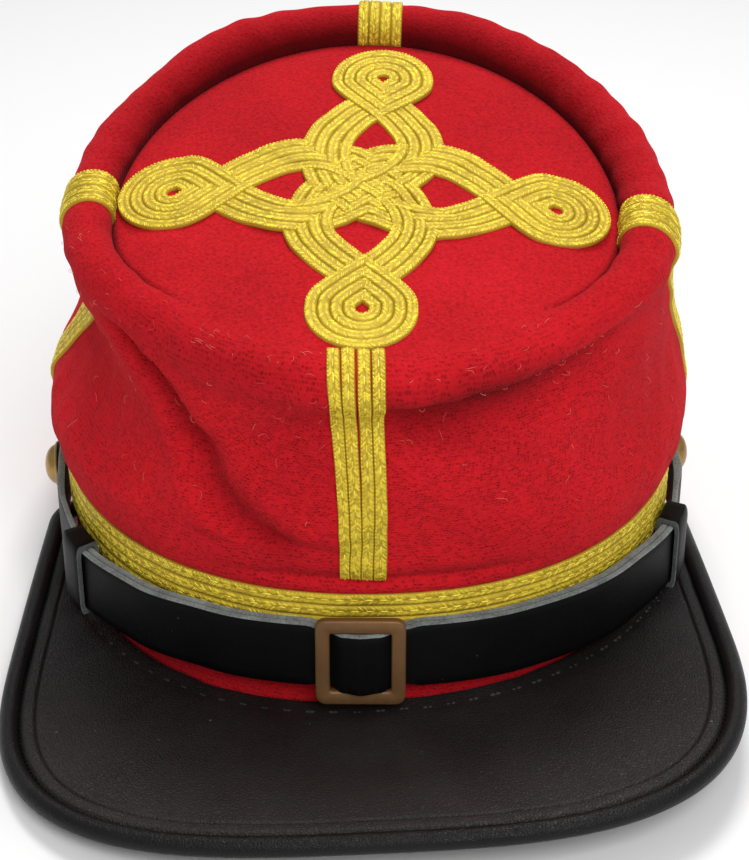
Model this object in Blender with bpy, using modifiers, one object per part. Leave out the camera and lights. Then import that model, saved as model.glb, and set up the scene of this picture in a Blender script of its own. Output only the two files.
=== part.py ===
"""Officer's kepi: red wool crown and band, gold braid, leather peak, chin strap and brass trim.

Units are metres and degrees.  +Z is up, the front of the cap faces -Y, and the origin is the
middle of the cap's outline on the ground that it rests on.  The sizes below are measured from
the middle of the head band, which stands at BAND_CENTRE.
"""
import math

import bmesh
import bpy
from mathutils import Matrix, Vector

# ---------------------------------------------------------------- driving dimensions
CLEARANCE = 0.0003            # gap kept between pieces that touch

# head band: an upright oval wall whose front leans back as it rises
BAND_CENTRE = Vector((-0.0012, 0.0250, 0.0))
BAND_HALF_WIDTH = 0.0865
BAND_HALF_LENGTH = 0.1020
BAND_EXPONENT = 2.16          # 2 is an ellipse, more is squarer
BAND_TURN = 2.7               # the band sits a little turned under the crown
BAND_LEAN = 0.15              # backward shift of the front for each metre of height
BAND_HEIGHT = 0.0384
CLOTH_WALL = 0.0020

# gold braid, four rows side by side
BRAID_WIDTH = 0.0124
BRAID_THICKNESS = 0.0010
FRONT_BRAID_WIDTH = 0.0132    # two pairs of rows with a slit of cloth between them
BRAID_LIFT = 0.0006           # clears the facets of the crown wall under it

# crown top: an oval disc, sunk inside a soft roll at the sides and back
DISC_CENTRE = Vector((0.0005, -0.0340, 0.1213))
DISC_HALF_WIDTH = 0.0657
DISC_HALF_LENGTH = 0.0670
DISC_TILT = 15.6              # front edge down
DISC_TURN = -2.4
DISC_ROLL = -1.4              # left side up
DISC_DOME = 0.0056            # how far the disc droops at DOME_REACH from its middle line
DOME_REACH = 0.0620
DISC_SINK = 0.0015            # how far the disc's edge is sunk inside the roll
ROLL_RADIUS = 0.0065
RIDGE_RADIUS = 0.0080         # rounded front edge, where the roll has faded out

# peak
PEAK_BASE_HEIGHT = 0.0042     # height of the peak's upper face at its rear ends
PEAK_THICKNESS = 0.0025
PEAK_HALF_WIDTH = 0.0963
PEAK_WIDEST_Y = -0.0712
PEAK_FRONT_Y = -0.1579
PEAK_EXPONENT = 3.13
PEAK_END_HALF_WIDTH = 0.0958
PEAK_END_Y = -0.0091
PEAK_RISE = 3.0               # upward slope to the front
PEAK_TWIST = 2.9              # the right side stands higher than the left towards the front
PEAK_TURN = 1.2
PEAK_REACH = 0.0900           # distance over which the twist grows
PEAK_END_SHARE = 0.08         # share of the outline that each rear end takes
PEAK_SIDE_SHARE = 0.38        # share at which each side turns into the front
PEAK_FIRST_SHARE = 0.045      # where the leather starts, next to the band
BINDING_FIRST_SHARE = 0.010
PEAK_SEAT_ANGLES = {"right": 358.6, "left": 177.8}    # where its rear ends meet the band
BINDING_RADIUS = 0.0025       # the rolled edge lies inside the peak's outline

# chin strap: two layers of leather, laid on the front of the band
STRAP_HEIGHT = 0.0172
STRAP_TIP = 0.0055            # length of each rounded end
BUCKLE_ANGLE = 267.3          # where the buckle sits on the band's own oval
BUCKLE_WIDTH = 0.0225
BUCKLE_HEIGHT = 0.0232
BUCKLE_BAR = 0.0036
BUCKLE_THICKNESS = 0.0022
BUCKLE_CORNER = 0.0026
BUCKLE_STAND_OFF = 0.0056     # back face of the buckle in front of the band
CENTRE_BAR_WIDTH = 0.0030
CENTRE_BAR_THICKNESS = 0.0015
KEEPER_WIDTH = 0.0110
KEEPER_WALL = 0.0013
BUTTON_RADIUS = 0.0069
BUTTON_ANGLES = {"left": 181.1, "right": 358.9}

# top knot, in the plane of the disc
KNOT_WIDTH = 0.0120
KNOT_LOBE_RADIUS = 0.0072     # middle line of the lobe's ribbon
KNOT_LOBE_CENTRE = 0.0500
KNOT_STEPS = 3                # straight pieces between two guide points
KNOT_LOBE_STEPS = 8           # guide points round a lobe, less one
KNOT_LOBE_OVERTURN = 22.0     # how far the lobe's ribbon closes past the line of its neck
KNOT_LIFT = 0.0004

SEGMENTS = 60                 # round the band and crown
FULL_TURN = 360.0

# crown wall above the band: how far it stands out from the band, and how high above it
HEM_STATIONS = (
    # stand_off, height
    (0.0008, 0.0003),
    (0.0010, 0.0044),
    (0.0034, 0.0072),
    (0.0044, 0.0125),
)
WALL_FRACTIONS = (0.2, 0.4, 0.6, 0.8)
WALL_UPWARD_PULL = 0.75       # how long the wall keeps upright above the band
WALL_INWARD_PULL = 0.55       # how long it follows the disc's axis below the roll
ARC_ANGLES = (-35.0, 0.0, 30.0, 60.0, 90.0)
INNER_ANGLES = (125.0, 160.0, 180.0)
BEAD_DROP = 0.0005            # middle of the roll's section below the disc's plane
INNER_DROP = 0.0034           # lower end of the roll's cloth, inside the crease
RIDGE_SETBACK = 0.0030        # middle of the front ridge, inside the crease line
SEAM_SETBACK = 0.0060         # seam between wall and disc at the front

# soft dents and bulges of the crown wall (depth is inward, slant is degrees per unit of height)
DENTS = (
    # angle, height, half_angle, half_height, depth, slant
    (238.0, 0.48, 7.0, 0.42, 0.0030, -55.0),
    (252.0, 0.62, 5.0, 0.20, 0.0014, -40.0),
    (303.0, 0.86, 20.0, 0.16, 0.0026, 0.0),
    (308.0, 0.45, 9.0, 0.28, 0.0015, 30.0),
    (197.0, 0.44, 30.0, 0.27, 0.0130, 0.0),
    (160.0, 0.80, 24.0, 0.20, 0.0030, 0.0),
    (262.0, 0.30, 14.0, 0.30, -0.0012, 0.0),
    (336.0, 0.46, 20.0, 0.26, 0.0026, 0.0),
    (120.0, 0.62, 16.0, 0.26, 0.0030, 30.0),
    (70.0, 0.50, 14.0, 0.28, 0.0026, -30.0),
)

# where the roll rises and fades, by angle round the disc
ROLL_STRENGTH = (
    # angle, strength
    (0.0, 1.0),
    (196.0, 1.0),
    (232.0, 0.0),
    (310.0, 0.0),
    (347.0, 1.0),
    (360.0, 1.0),
)

# the roll is a little fuller at some angles
ROLL_SWELL = (
    # angle, growth of its radius
    (0.0, 0.0007),
    (32.0, 0.0012),
    (66.0, 0.0008),
    (90.0, 0.0000),
    (104.0, 0.0002),
    (124.0, 0.0014),
    (146.0, 0.0002),
    (158.0, 0.0002),
    (185.0, -0.0002),
    (215.0, -0.0008),
    (320.0, -0.0002),
    (360.0, 0.0007),
)

# middle lines of the four braids that climb the crown wall, by station of its profile
BRAID_LINES = {
    "front": (
        # station, angle
        (1, 267.2),
        (3, 267.1),
        (8, 270.4),
    ),
    "back": ((1, 88.0), (8, 90.0)),
    "left": ((1, 177.0), (8, 182.0)),
    "right": ((1, 357.0), (8, 356.2)),
}

# chin strap along the band, between the two buttons
STRAP_STATIONS = (
    # angle, stand_off, thickness, height of its middle line
    (174.0, 0.0017, 0.0018, 0.0218),
    (188.0, 0.0021, 0.0020, 0.0216),
    (200.0, 0.0034, 0.0030, 0.0214),
    (212.0, 0.0042, 0.0034, 0.0214),
    (228.0, 0.0028, 0.0034, 0.0220),
    (243.0, 0.0018, 0.0034, 0.0231),
    (260.0, 0.0018, 0.0034, 0.0240),
    (275.0, 0.0018, 0.0034, 0.0240),
    (292.0, 0.0018, 0.0034, 0.0235),
    (315.0, 0.0024, 0.0034, 0.0223),
    (332.0, 0.0038, 0.0034, 0.0212),
    (345.0, 0.0028, 0.0028, 0.0213),
    (354.0, 0.0020, 0.0020, 0.0216),
    (366.0, 0.0017, 0.0018, 0.0218),
)
# the strap climbs over the buckle's centre bar, and is squeezed to pass through the frame
BUCKLE_BULGE = (
    # sideways, extra stand_off, thickness, height
    (-0.0085, 0.0000, 0.0034, 0.0172),
    (-0.0064, 0.0001, 0.0033, 0.0152),
    (-0.0046, 0.0012, 0.0031, 0.0152),
    (-0.0023, 0.0020, 0.0030, 0.0152),
    (0.0000, 0.0022, 0.0030, 0.0152),
    (0.0023, 0.0020, 0.0030, 0.0152),
    (0.0046, 0.0012, 0.0031, 0.0152),
    (0.0064, 0.0001, 0.0033, 0.0152),
    (0.0085, 0.0000, 0.0034, 0.0172),
)
KEEPER_ANGLES = {"left": 212.0, "right": 332.0}

# arms of the top knot: direction in the disc's plane, and reach against the drawn size
KNOT_ARMS = (
    # angle, turn, scale
    (0.0, -4.2, 0.995),
    (90.0, -2.4, 0.975),
    (180.0, 2.2, 1.015),
    (270.0, 1.4, 0.990),
)
# guide points of one arm, from the middle of the knot to its neck: along and across the arm
KNOT_GUIDE = (
    (-0.0043, 0.0043),
    (0.0000, 0.0083),
    (0.0075, 0.0111),
    (0.0150, 0.0122),
    (0.0220, 0.0112),
    (0.0280, 0.0084),
    (0.0335, 0.0046),
)

# colours, roughness and metallic value
FINISHES = {
    "red_wool": ((0.420, 0.006, 0.012), 0.95, 0.0),
    "gold_braid": ((0.600, 0.400, 0.040), 0.60, 0.0),
    "black_leather": ((0.014, 0.013, 0.013), 0.45, 0.0),
    "old_brass": ((0.330, 0.200, 0.090), 0.40, 1.0),
}


# ---------------------------------------------------------------- small helpers
def smoothstep(value):
    """Ease from 0 to 1 for a value between 0 and 1."""
    value = min(max(value, 0.0), 1.0)
    return value * value * (3.0 - 2.0 * value)


def read_table(table, key):
    """Values of a table's other columns at a key, eased between its rows."""
    if key <= table[0][0]:
        return table[0][1:]
    for low, high in zip(table, table[1:]):
        if key <= high[0]:
            blend = smoothstep((key - low[0]) / (high[0] - low[0]))
            return tuple(a + (b - a) * blend for a, b in zip(low[1:], high[1:]))
    return table[-1][1:]


def turned(x, y, degrees):
    """A point turned about the vertical axis."""
    angle = math.radians(degrees)
    return (x * math.cos(angle) - y * math.sin(angle), x * math.sin(angle) + y * math.cos(angle))


def signed_power(value, power):
    """Power of a number's size that keeps its sign."""
    return math.copysign(abs(value) ** power, value)


def angle_apart(first, second):
    """Signed difference of two angles in degrees, between -180 and 180."""
    return (first - second + 180.0) % FULL_TURN - 180.0


# ---------------------------------------------------------------- shape of the cap
def oval(half_width, half_length, exponent, degrees):
    """Point of an oval that is an ellipse at exponent 2 and squarer above it."""
    angle = math.radians(degrees)
    x = half_width * signed_power(math.cos(angle), 2.0 / exponent)
    y = half_length * signed_power(math.sin(angle), 2.0 / exponent)
    return x, y


def band_point(degrees, stand_off, height):
    """Point that stands off the band's outer face, at a height above the ground."""
    x, y = oval(BAND_HALF_WIDTH + stand_off, BAND_HALF_LENGTH + stand_off, BAND_EXPONENT, degrees)
    if y < 0.0:
        y -= BAND_LEAN * height * math.sin(math.radians(degrees))
    x, y = turned(x, y, BAND_TURN)
    return Vector((x, y, height))


def disc_point(x, along, rise):
    """Point given in the disc's own plane: to the right, to the back, and above it."""
    rise -= DISC_DOME * (x / DOME_REACH) ** 2
    roll = math.radians(DISC_ROLL)
    x, rise = x * math.cos(roll) - rise * math.sin(roll), x * math.sin(roll) + rise * math.cos(roll)
    tilt = math.radians(DISC_TILT)
    y = along * math.cos(tilt) - rise * math.sin(tilt)
    z = along * math.sin(tilt) + rise * math.cos(tilt)
    x, y = turned(x, y, DISC_TURN)
    return DISC_CENTRE + Vector((x, y, z))


def rim_point(degrees, outward, rise):
    """Point outward from the disc's crease line and above the disc's plane."""
    angle = math.radians(degrees)
    x = (DISC_HALF_WIDTH + outward) * math.cos(angle)
    along = (DISC_HALF_LENGTH + outward) * math.sin(angle)
    return disc_point(x, along, rise)


def roll_strength(degrees):
    """1 where the padded roll stands round the disc, 0 along the front ridge."""
    return read_table(ROLL_STRENGTH, degrees % FULL_TURN)[0]


def rim_section(degrees):
    """Rim of the crown in section, from its outside to the crease: outward and rise of each point.

    Where the roll stands it is a round bead that ends on an upright face inside the crease.  At
    the front it is a quarter-round ridge that runs on flat to the disc.
    """
    strength = roll_strength(degrees)
    radius = ROLL_RADIUS + read_table(ROLL_SWELL, degrees % FULL_TURN)[0]
    bead = []
    ridge = []
    for angle in ARC_ANGLES + INNER_ANGLES:
        turn = math.radians(angle)
        bead.append((radius * (1.0 + math.cos(turn)), radius * math.sin(turn) - BEAD_DROP))
        outward = RIDGE_RADIUS * math.cos(turn) - RIDGE_SETBACK
        ridge.append((outward, RIDGE_RADIUS * (math.sin(turn) - 1.0)))
    bead.append((0.0, -INNER_DROP))
    steps = len(INNER_ANGLES) + 1
    for step in range(1, steps + 1):
        share = step / steps
        flat = (-RIDGE_SETBACK - (SEAM_SETBACK - RIDGE_SETBACK) * share, 0.0)
        place = len(ARC_ANGLES) + step - 1
        ridge[place:place + 1] = [flat]
    return [
        (front[0] + (back[0] - front[0]) * strength, front[1] + (back[1] - front[1]) * strength)
        for front, back in zip(ridge, bead)
    ]


def crease_place(degrees):
    """Where the rim's cloth meets the disc: outward from the crease line, and height."""
    strength = roll_strength(degrees)
    return -SEAM_SETBACK * (1.0 - strength), -DISC_SINK * strength


def dent_depth(degrees, height):
    """How far the crown wall is pushed in, at a height from 0 at the band to 1 at the rim."""
    depth = 0.0
    for angle, middle, half_angle, half_height, deepest, slant in DENTS:
        up = (height - middle) / half_height
        across = angle_apart(degrees, angle - slant * (height - middle)) / half_angle
        depth += deepest * math.exp(-(up * up + across * across))
    return depth


def crown_profile(degrees):
    """Outer face of the crown from the band, up the wall, over the rim and into the crease."""
    hem = [band_point(degrees, off, BAND_HEIGHT + up) for off, up in HEM_STATIONS]
    rim = [rim_point(degrees, outward, rise) for outward, rise in rim_section(degrees)]
    low = hem[-1]
    high = rim[0]
    span = (high - low).length
    axis = (rim_point(degrees, 0.0, 0.01) - rim_point(degrees, 0.0, 0.0)).normalized()
    wall = []
    for fraction in WALL_FRACTIONS:
        square = fraction * fraction
        cube = square * fraction
        point = low * (2.0 * cube - 3.0 * square + 1.0) + high * (3.0 * square - 2.0 * cube)
        point += Vector((0.0, 0.0, WALL_UPWARD_PULL * span)) * (cube - 2.0 * square + fraction)
        point += axis * (WALL_INWARD_PULL * span) * (cube - square)
        wall.append(point)
    turn = math.radians(degrees)
    inward = -Vector((math.cos(turn), math.sin(turn), 0.0))
    for point, fraction in zip(wall, WALL_FRACTIONS):
        point += inward * dent_depth(degrees, fraction)
    return hem + wall + rim


def peak_height(x, y):
    """Height of the peak's upper face."""
    forward = max(PEAK_END_Y - y, 0.0)
    share = min(forward / PEAK_REACH, 1.0)
    height = PEAK_BASE_HEIGHT + forward * math.tan(math.radians(PEAK_RISE))
    return height + math.sin(math.radians(PEAK_TWIST)) * x * share


def peak_outline(share):
    """Plan of the peak's outer edge, from its right rear end at 0 to its left one at 1."""
    side = 1.0 if share <= 0.5 else -1.0
    along = 2.0 * min(share, 1.0 - share)
    if along < PEAK_END_SHARE:
        seat = band_point(PEAK_SEAT_ANGLES["right" if side > 0.0 else "left"], CLEARANCE, 0.0)
        turn = math.radians(90.0 * along / PEAK_END_SHARE)
        x, y = turned(side * PEAK_END_HALF_WIDTH, PEAK_END_Y, PEAK_TURN)
        return seat.x + (x - seat.x) * math.sin(turn), y + (seat.y - y) * math.cos(turn)
    if along < PEAK_SIDE_SHARE:
        down = (along - PEAK_END_SHARE) / (PEAK_SIDE_SHARE - PEAK_END_SHARE)
        spread = (PEAK_HALF_WIDTH - PEAK_END_HALF_WIDTH) * (1.0 - (1.0 - down) ** 2)
        x = PEAK_END_HALF_WIDTH + spread
        y = PEAK_END_Y + (PEAK_WIDEST_Y - PEAK_END_Y) * down
    else:
        turn = math.radians(90.0 * (along - PEAK_SIDE_SHARE) / (1.0 - PEAK_SIDE_SHARE))
        power = 2.0 / PEAK_EXPONENT
        x = PEAK_HALF_WIDTH * max(math.cos(turn), 0.0) ** power
        y = PEAK_WIDEST_Y + (PEAK_FRONT_Y - PEAK_WIDEST_Y) * math.sin(turn) ** power
    return turned(side * x, y, PEAK_TURN)


def peak_inset(share, inset):
    """Point at a distance inside the peak's outer edge."""
    step = 0.004
    x, y = peak_outline(share)
    ahead = peak_outline(min(share + step, 1.0))
    behind = peak_outline(max(share - step, 0.0))
    along = Vector((ahead[0] - behind[0], ahead[1] - behind[1])).normalized()
    return x + along.y * inset, y - along.x * inset


def strap_section(degrees):
    """Stand-off, thickness, height of the middle line and width of the chin strap."""
    stand_off, thickness, middle = read_table(STRAP_STATIONS, degrees)
    width = STRAP_HEIGHT
    sideways = math.radians(degrees - BUCKLE_ANGLE) * BAND_HALF_WIDTH
    if abs(sideways) <= BUCKLE_BULGE[-1][0]:
        extra, thickness, width = read_table(BUCKLE_BULGE, sideways)
        stand_off += extra
    return stand_off, thickness, middle, width


def knot_warp(x, along):
    """Stretch and turn the drawn knot so that each arm has its own reach and direction."""
    angle = math.degrees(math.atan2(along, x)) % FULL_TURN
    rows = KNOT_ARMS + ((FULL_TURN,) + KNOT_ARMS[0][1:],)
    turn, scale = read_table(rows, angle)
    x, along = turned(x, along, turn)
    return x * scale, along * scale


def knot_path():
    """Middle line of the knot's ribbon: one closed line that loops at the end of each arm."""
    neck = KNOT_GUIDE[-1]
    reach = KNOT_LOBE_CENTRE
    slope = math.atan2(neck[1], reach - neck[0])
    start = 90.0 + math.degrees(slope) + KNOT_LOBE_OVERTURN
    lobe_turns = [start - step * 2.0 * start / KNOT_LOBE_STEPS for step in range(KNOT_LOBE_STEPS + 1)]
    arm = [(along, -across) for along, across in KNOT_GUIDE]
    for turn in lobe_turns:
        angle = math.radians(turn)
        arm.append((reach + KNOT_LOBE_RADIUS * math.cos(angle), KNOT_LOBE_RADIUS * math.sin(angle)))
    arm += [(along, across) for along, across in reversed(KNOT_GUIDE)][:-1]
    guide = []
    for quarter in range(4):
        for along, across in arm:
            guide.append(Vector(turned(along, across, -90.0 * quarter)))
    path = []
    count = len(guide)
    for index in range(count):
        before, here, after, beyond = (guide[(index + shift) % count] for shift in (-1, 0, 1, 2))
        for step in range(KNOT_STEPS):
            s = step / KNOT_STEPS
            point = here * 2.0 + (after - before) * s
            point += (before * 2.0 - here * 5.0 + after * 4.0 - beyond) * s * s
            point += (here * 3.0 - before - after * 3.0 + beyond) * s * s * s
            path.append(point * 0.5)
    return path


# ---------------------------------------------------------------- building tools
def clear_scene():
    """Remove whatever the scene holds."""
    for item in list(bpy.data.objects):
        bpy.data.objects.remove(item, do_unlink=True)


def new_collection(name):
    """A collection linked to the scene."""
    collection = bpy.data.collections.new(name)
    bpy.context.scene.collection.children.link(collection)
    return collection


def new_material(piece, finish):
    """A Principled material of a piece's own."""
    colour, roughness, metallic = FINISHES[finish]
    material = bpy.data.materials.new(piece + "_" + finish)
    material.use_nodes = True
    shader = material.node_tree.nodes["Principled BSDF"]
    shader.inputs["Base Color"].default_value = (*colour, 1.0)
    shader.inputs["Roughness"].default_value = roughness
    shader.inputs["Metallic"].default_value = metallic
    material.diffuse_color = (*colour, 1.0)
    return material


def finish_object(name, mesh, finish, collection):
    """Wrap a mesh as a named, smooth-shaded object with its own material."""
    mesh.name = name
    mesh.materials.clear()
    mesh.materials.append(new_material(name, finish))
    mesh.shade_smooth()
    mesh.set_sharp_from_angle(angle=math.radians(40.0))
    item = bpy.data.objects.new(name, mesh)
    collection.objects.link(item)
    return item


def sheet_mesh(name, rows, closed):
    """A mesh of quads over rows of points; closed joins each row's last point to its first."""
    mesh = bpy.data.meshes.new(name)
    columns = len(rows[0])
    points = [point for row in rows for point in row]
    faces = []
    for row in range(len(rows) - 1):
        for column in range(columns if closed else columns - 1):
            following = (column + 1) % columns
            first = row * columns
            second = first + columns
            faces.append((first + column, first + following, second + following, second + column))
    mesh.from_pydata(points, [], faces)
    return mesh


def loop_mesh(name, sections, closed):
    """A closed solid swept through sections that each hold the same ring of points."""
    size = len(sections[0])
    rows = [list(section) for section in sections]
    mesh = bpy.data.meshes.new(name)
    points = [point for row in rows for point in row]
    faces = []
    spans = len(rows) if closed else len(rows) - 1
    for row in range(spans):
        first = row * size
        second = ((row + 1) % len(rows)) * size
        for corner in range(size):
            following = (corner + 1) % size
            faces.append((first + corner, second + corner, second + following, first + following))
    if not closed:
        last = (len(rows) - 1) * size
        faces.append(tuple(range(size)))
        faces.append(tuple(last + corner for corner in reversed(range(size))))
    mesh.from_pydata(points, [], faces)
    return mesh


def point_faces_outward(mesh):
    """Turn a closed mesh's faces so that they all point out."""
    work = bmesh.new()
    work.from_mesh(mesh)
    bmesh.ops.recalc_face_normals(work, faces=work.faces)
    work.to_mesh(mesh)
    work.free()


def thicken(item, thickness):
    """Give an open sheet a wall that grows inward from its outer face."""
    wall = item.modifiers.new("wall", 'SOLIDIFY')
    wall.thickness = thickness
    wall.offset = -1.0
    wall.use_rim = True
    wall.use_even_offset = False


def evaluated_mesh(item):
    """A plain mesh of an object as its modifiers leave it, in world space."""
    depsgraph = bpy.context.evaluated_depsgraph_get()
    mesh = bpy.data.meshes.new_from_object(item.evaluated_get(depsgraph))
    mesh.transform(item.matrix_world)
    return mesh


def ring_angles():
    """Angles of the cap's sections."""
    return [FULL_TURN * step / SEGMENTS for step in range(SEGMENTS)]


# ---------------------------------------------------------------- cloth pieces
def make_band(parts):
    """Head band of red wool."""
    sections = []
    for degrees in ring_angles():
        sections.append((
            band_point(degrees, 0.0, 0.0),
            band_point(degrees, 0.0, BAND_HEIGHT),
            band_point(degrees, -CLOTH_WALL, BAND_HEIGHT),
            band_point(degrees, -CLOTH_WALL, 0.0),
        ))
    mesh = loop_mesh("band", sections, closed=True)
    point_faces_outward(mesh)
    return finish_object("band", mesh, "red_wool", parts)


def make_crown_side(parts):
    """Soft crown wall with the padded roll round its top."""
    profiles = [crown_profile(degrees) for degrees in ring_angles()]
    rows = [[profile[station] for profile in profiles] for station in range(len(profiles[0]))]
    mesh = sheet_mesh("crown_side", rows, closed=True)
    item = finish_object("crown_side", mesh, "red_wool", parts)
    thicken(item, CLOTH_WALL)
    return item


def make_crown_top(parts):
    """Oval disc of cloth inside the roll."""
    ring_shares = (1.0, 0.93, 0.82, 0.55, 0.28)
    rows = []
    for share in ring_shares:
        row = []
        for degrees in ring_angles():
            outward, rise = crease_place(degrees)
            angle = math.radians(degrees)
            x = (DISC_HALF_WIDTH + outward - CLEARANCE) * math.cos(angle) * share
            along = (DISC_HALF_LENGTH + outward - CLEARANCE) * math.sin(angle) * share
            sunk = smoothstep((share - 0.80) / 0.20)
            row.append(disc_point(x, along, rise * sunk))
        rows.append(row)
    mesh = sheet_mesh("crown_top", rows, closed=True)
    work = bmesh.new()
    work.from_mesh(mesh)
    work.verts.ensure_lookup_table()
    innermost = list(work.verts)[-SEGMENTS:]
    middle = work.verts.new(disc_point(0.0, 0.0, 0.0))
    for near, far in zip(innermost, innermost[1:] + innermost[:1]):
        work.faces.new((near, far, middle))
    work.to_mesh(mesh)
    work.free()
    item = finish_object("crown_top", mesh, "red_wool", parts)
    thicken(item, CLOTH_WALL)
    return item


# ---------------------------------------------------------------- gold braid
def make_band_braid(parts):
    """Four rows of gold braid round the upper half of the band."""
    low = BAND_HEIGHT - BRAID_WIDTH
    inner = CLEARANCE
    outer = CLEARANCE + BRAID_THICKNESS
    sections = []
    for degrees in ring_angles():
        sections.append((
            band_point(degrees, outer, low),
            band_point(degrees, outer, BAND_HEIGHT),
            band_point(degrees, inner, BAND_HEIGHT),
            band_point(degrees, inner, low),
        ))
    mesh = loop_mesh("band_braid", sections, closed=True)
    point_faces_outward(mesh)
    return finish_object("band_braid", mesh, "gold_braid", parts)


def sector_profile(degrees):
    """Crown profile on the flat facets of the wall, also between two of its sections."""
    pitch = FULL_TURN / SEGMENTS
    low = math.floor(degrees / pitch) * pitch
    share = (degrees - low) / pitch
    before = crown_profile(low)
    after = crown_profile(low + pitch)
    return [a.lerp(b, share) for a, b in zip(before, after)]


def make_crown_braid(name, line, width, last, parts):
    """A strip of braid that climbs the crown wall, from its foot to a station near the crease."""
    first = 1
    half = math.degrees(0.5 * width / BAND_HALF_WIDTH)
    shares = (-1.0, -0.5, 0.0, 0.5, 1.0)
    sections = []
    rows = []
    for station in range(first, last + 1):
        degrees = read_table(line, station)[0]
        centre = sector_profile(degrees)[station]
        row = [sector_profile(degrees + half * share)[station] for share in shares]
        narrow = width / (row[-1] - row[0]).length
        rows.append([centre + (point - centre) * narrow for point in row])
    for index, row in enumerate(rows):
        before = rows[max(index - 1, 0)]
        after = rows[min(index + 1, len(rows) - 1)]
        across = row[-1] - row[0]
        climb = after[0] + after[-1] - before[0] - before[-1]
        normal = across.cross(climb).normalized()
        ring = [point + normal * (BRAID_LIFT + BRAID_THICKNESS) for point in row]
        ring += [point + normal * BRAID_LIFT for point in reversed(row)]
        sections.append(ring)
    mesh = loop_mesh(name, sections, closed=False)
    point_faces_outward(mesh)
    return finish_object(name, mesh, "gold_braid", parts)


def make_top_knot(parts):
    """Four-armed knot of gold braid laid on the crown's disc, its crossings merged."""
    path = knot_path()
    half = 0.5 * KNOT_WIDTH
    sections = []
    for index, point in enumerate(path):
        ahead = path[(index + 1) % len(path)]
        behind = path[index - 1]
        direction = (ahead - behind).normalized()
        side = Vector((-direction.y, direction.x)) * half
        left = point + side
        right = point - side
        sections.append((
            Vector((right.x, right.y, 0.0)),
            Vector((right.x, right.y, BRAID_THICKNESS)),
            Vector((left.x, left.y, BRAID_THICKNESS)),
            Vector((left.x, left.y, 0.0)),
        ))
    mesh = loop_mesh("ribbon", sections, closed=True)
    point_faces_outward(mesh)
    ribbon = bpy.data.objects.new("ribbon", mesh)
    parts.objects.link(ribbon)
    heart_mesh = bpy.data.meshes.new("heart")
    work = bmesh.new()
    bmesh.ops.create_cube(work, size=0.004)
    bmesh.ops.scale(work, vec=(1.0, 1.0, BRAID_THICKNESS / 0.004), verts=work.verts)
    bmesh.ops.translate(work, vec=(0.0, 0.0, 0.5 * BRAID_THICKNESS), verts=work.verts)
    work.to_mesh(heart_mesh)
    work.free()
    heart = bpy.data.objects.new("heart", heart_mesh)
    parts.objects.link(heart)
    merge = ribbon.modifiers.new("merge", 'BOOLEAN')
    merge.operation = 'UNION'
    merge.solver = 'EXACT'
    merge.use_self = True
    merge.object = heart
    mesh = evaluated_mesh(ribbon)
    bpy.data.objects.remove(ribbon, do_unlink=True)
    bpy.data.objects.remove(heart, do_unlink=True)
    work = bmesh.new()
    work.from_mesh(mesh)
    bmesh.ops.dissolve_limit(work, angle_limit=math.radians(0.5), verts=work.verts, edges=work.edges)
    bmesh.ops.triangulate(work, faces=work.faces)
    for vertex in work.verts:
        x, along = knot_warp(vertex.co.x, vertex.co.y)
        vertex.co = disc_point(x, along, KNOT_LIFT + vertex.co.z)
    work.to_mesh(mesh)
    work.free()
    return finish_object("top_knot", mesh, "gold_braid", parts)


# ---------------------------------------------------------------- leather pieces
def make_peak(parts):
    """Flat leather peak with a slight rise and twist."""
    rows = []
    steps = 30
    blends = (0.0, 0.35, 0.7, 1.0)
    for step in range(steps + 1):
        share = PEAK_FIRST_SHARE + (1.0 - 2.0 * PEAK_FIRST_SHARE) * step / steps
        outer = peak_inset(share, 2.0 * BINDING_RADIUS + CLEARANCE)
        near = turned(outer[0], outer[1], -BAND_TURN)
        degrees = math.degrees(math.atan2(near[1] / BAND_HALF_LENGTH, near[0] / BAND_HALF_WIDTH))
        inner = band_point(degrees, CLEARANCE + 0.0002, 0.0)
        row = []
        for blend in blends:
            x = inner.x + (outer[0] - inner.x) * blend
            y = inner.y + (outer[1] - inner.y) * blend
            row.append(Vector((x, y, peak_height(x, y))))
        rows.insert(0, row)
    mesh = sheet_mesh("peak", rows, closed=False)
    item = finish_object("peak", mesh, "black_leather", parts)
    thicken(item, PEAK_THICKNESS)
    return item


def tube(name, points, radius, resolution, finish, parts):
    """A round bar along points, with filled ends, as a plain mesh object."""
    curve = bpy.data.curves.new(name + "_path", 'CURVE')
    curve.dimensions = '3D'
    curve.bevel_depth = radius
    curve.bevel_resolution = resolution
    curve.use_fill_caps = True
    spline = curve.splines.new('POLY')
    spline.points.add(len(points) - 1)
    for target, point in zip(spline.points, points):
        target.co = (*point, 1.0)
    path = bpy.data.objects.new(name + "_path", curve)
    parts.objects.link(path)
    mesh = evaluated_mesh(path)
    bpy.data.objects.remove(path, do_unlink=True)
    work = bmesh.new()
    work.from_mesh(mesh)
    bmesh.ops.remove_doubles(work, verts=work.verts, dist=0.00001)
    bmesh.ops.recalc_face_normals(work, faces=work.faces)
    work.to_mesh(mesh)
    work.free()
    return finish_object(name, mesh, finish, parts)


def make_peak_binding(parts):
    """Rolled leather edge round the peak."""
    points = []
    steps = 48
    for step in range(steps + 1):
        share = BINDING_FIRST_SHARE + (1.0 - 2.0 * BINDING_FIRST_SHARE) * step / steps
        x, y = peak_inset(share, BINDING_RADIUS)
        points.append(Vector((x, y, peak_height(x, y) - 0.5 * PEAK_THICKNESS)))
    return tube("peak_binding", points, BINDING_RADIUS, 2, "black_leather", parts)


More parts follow.
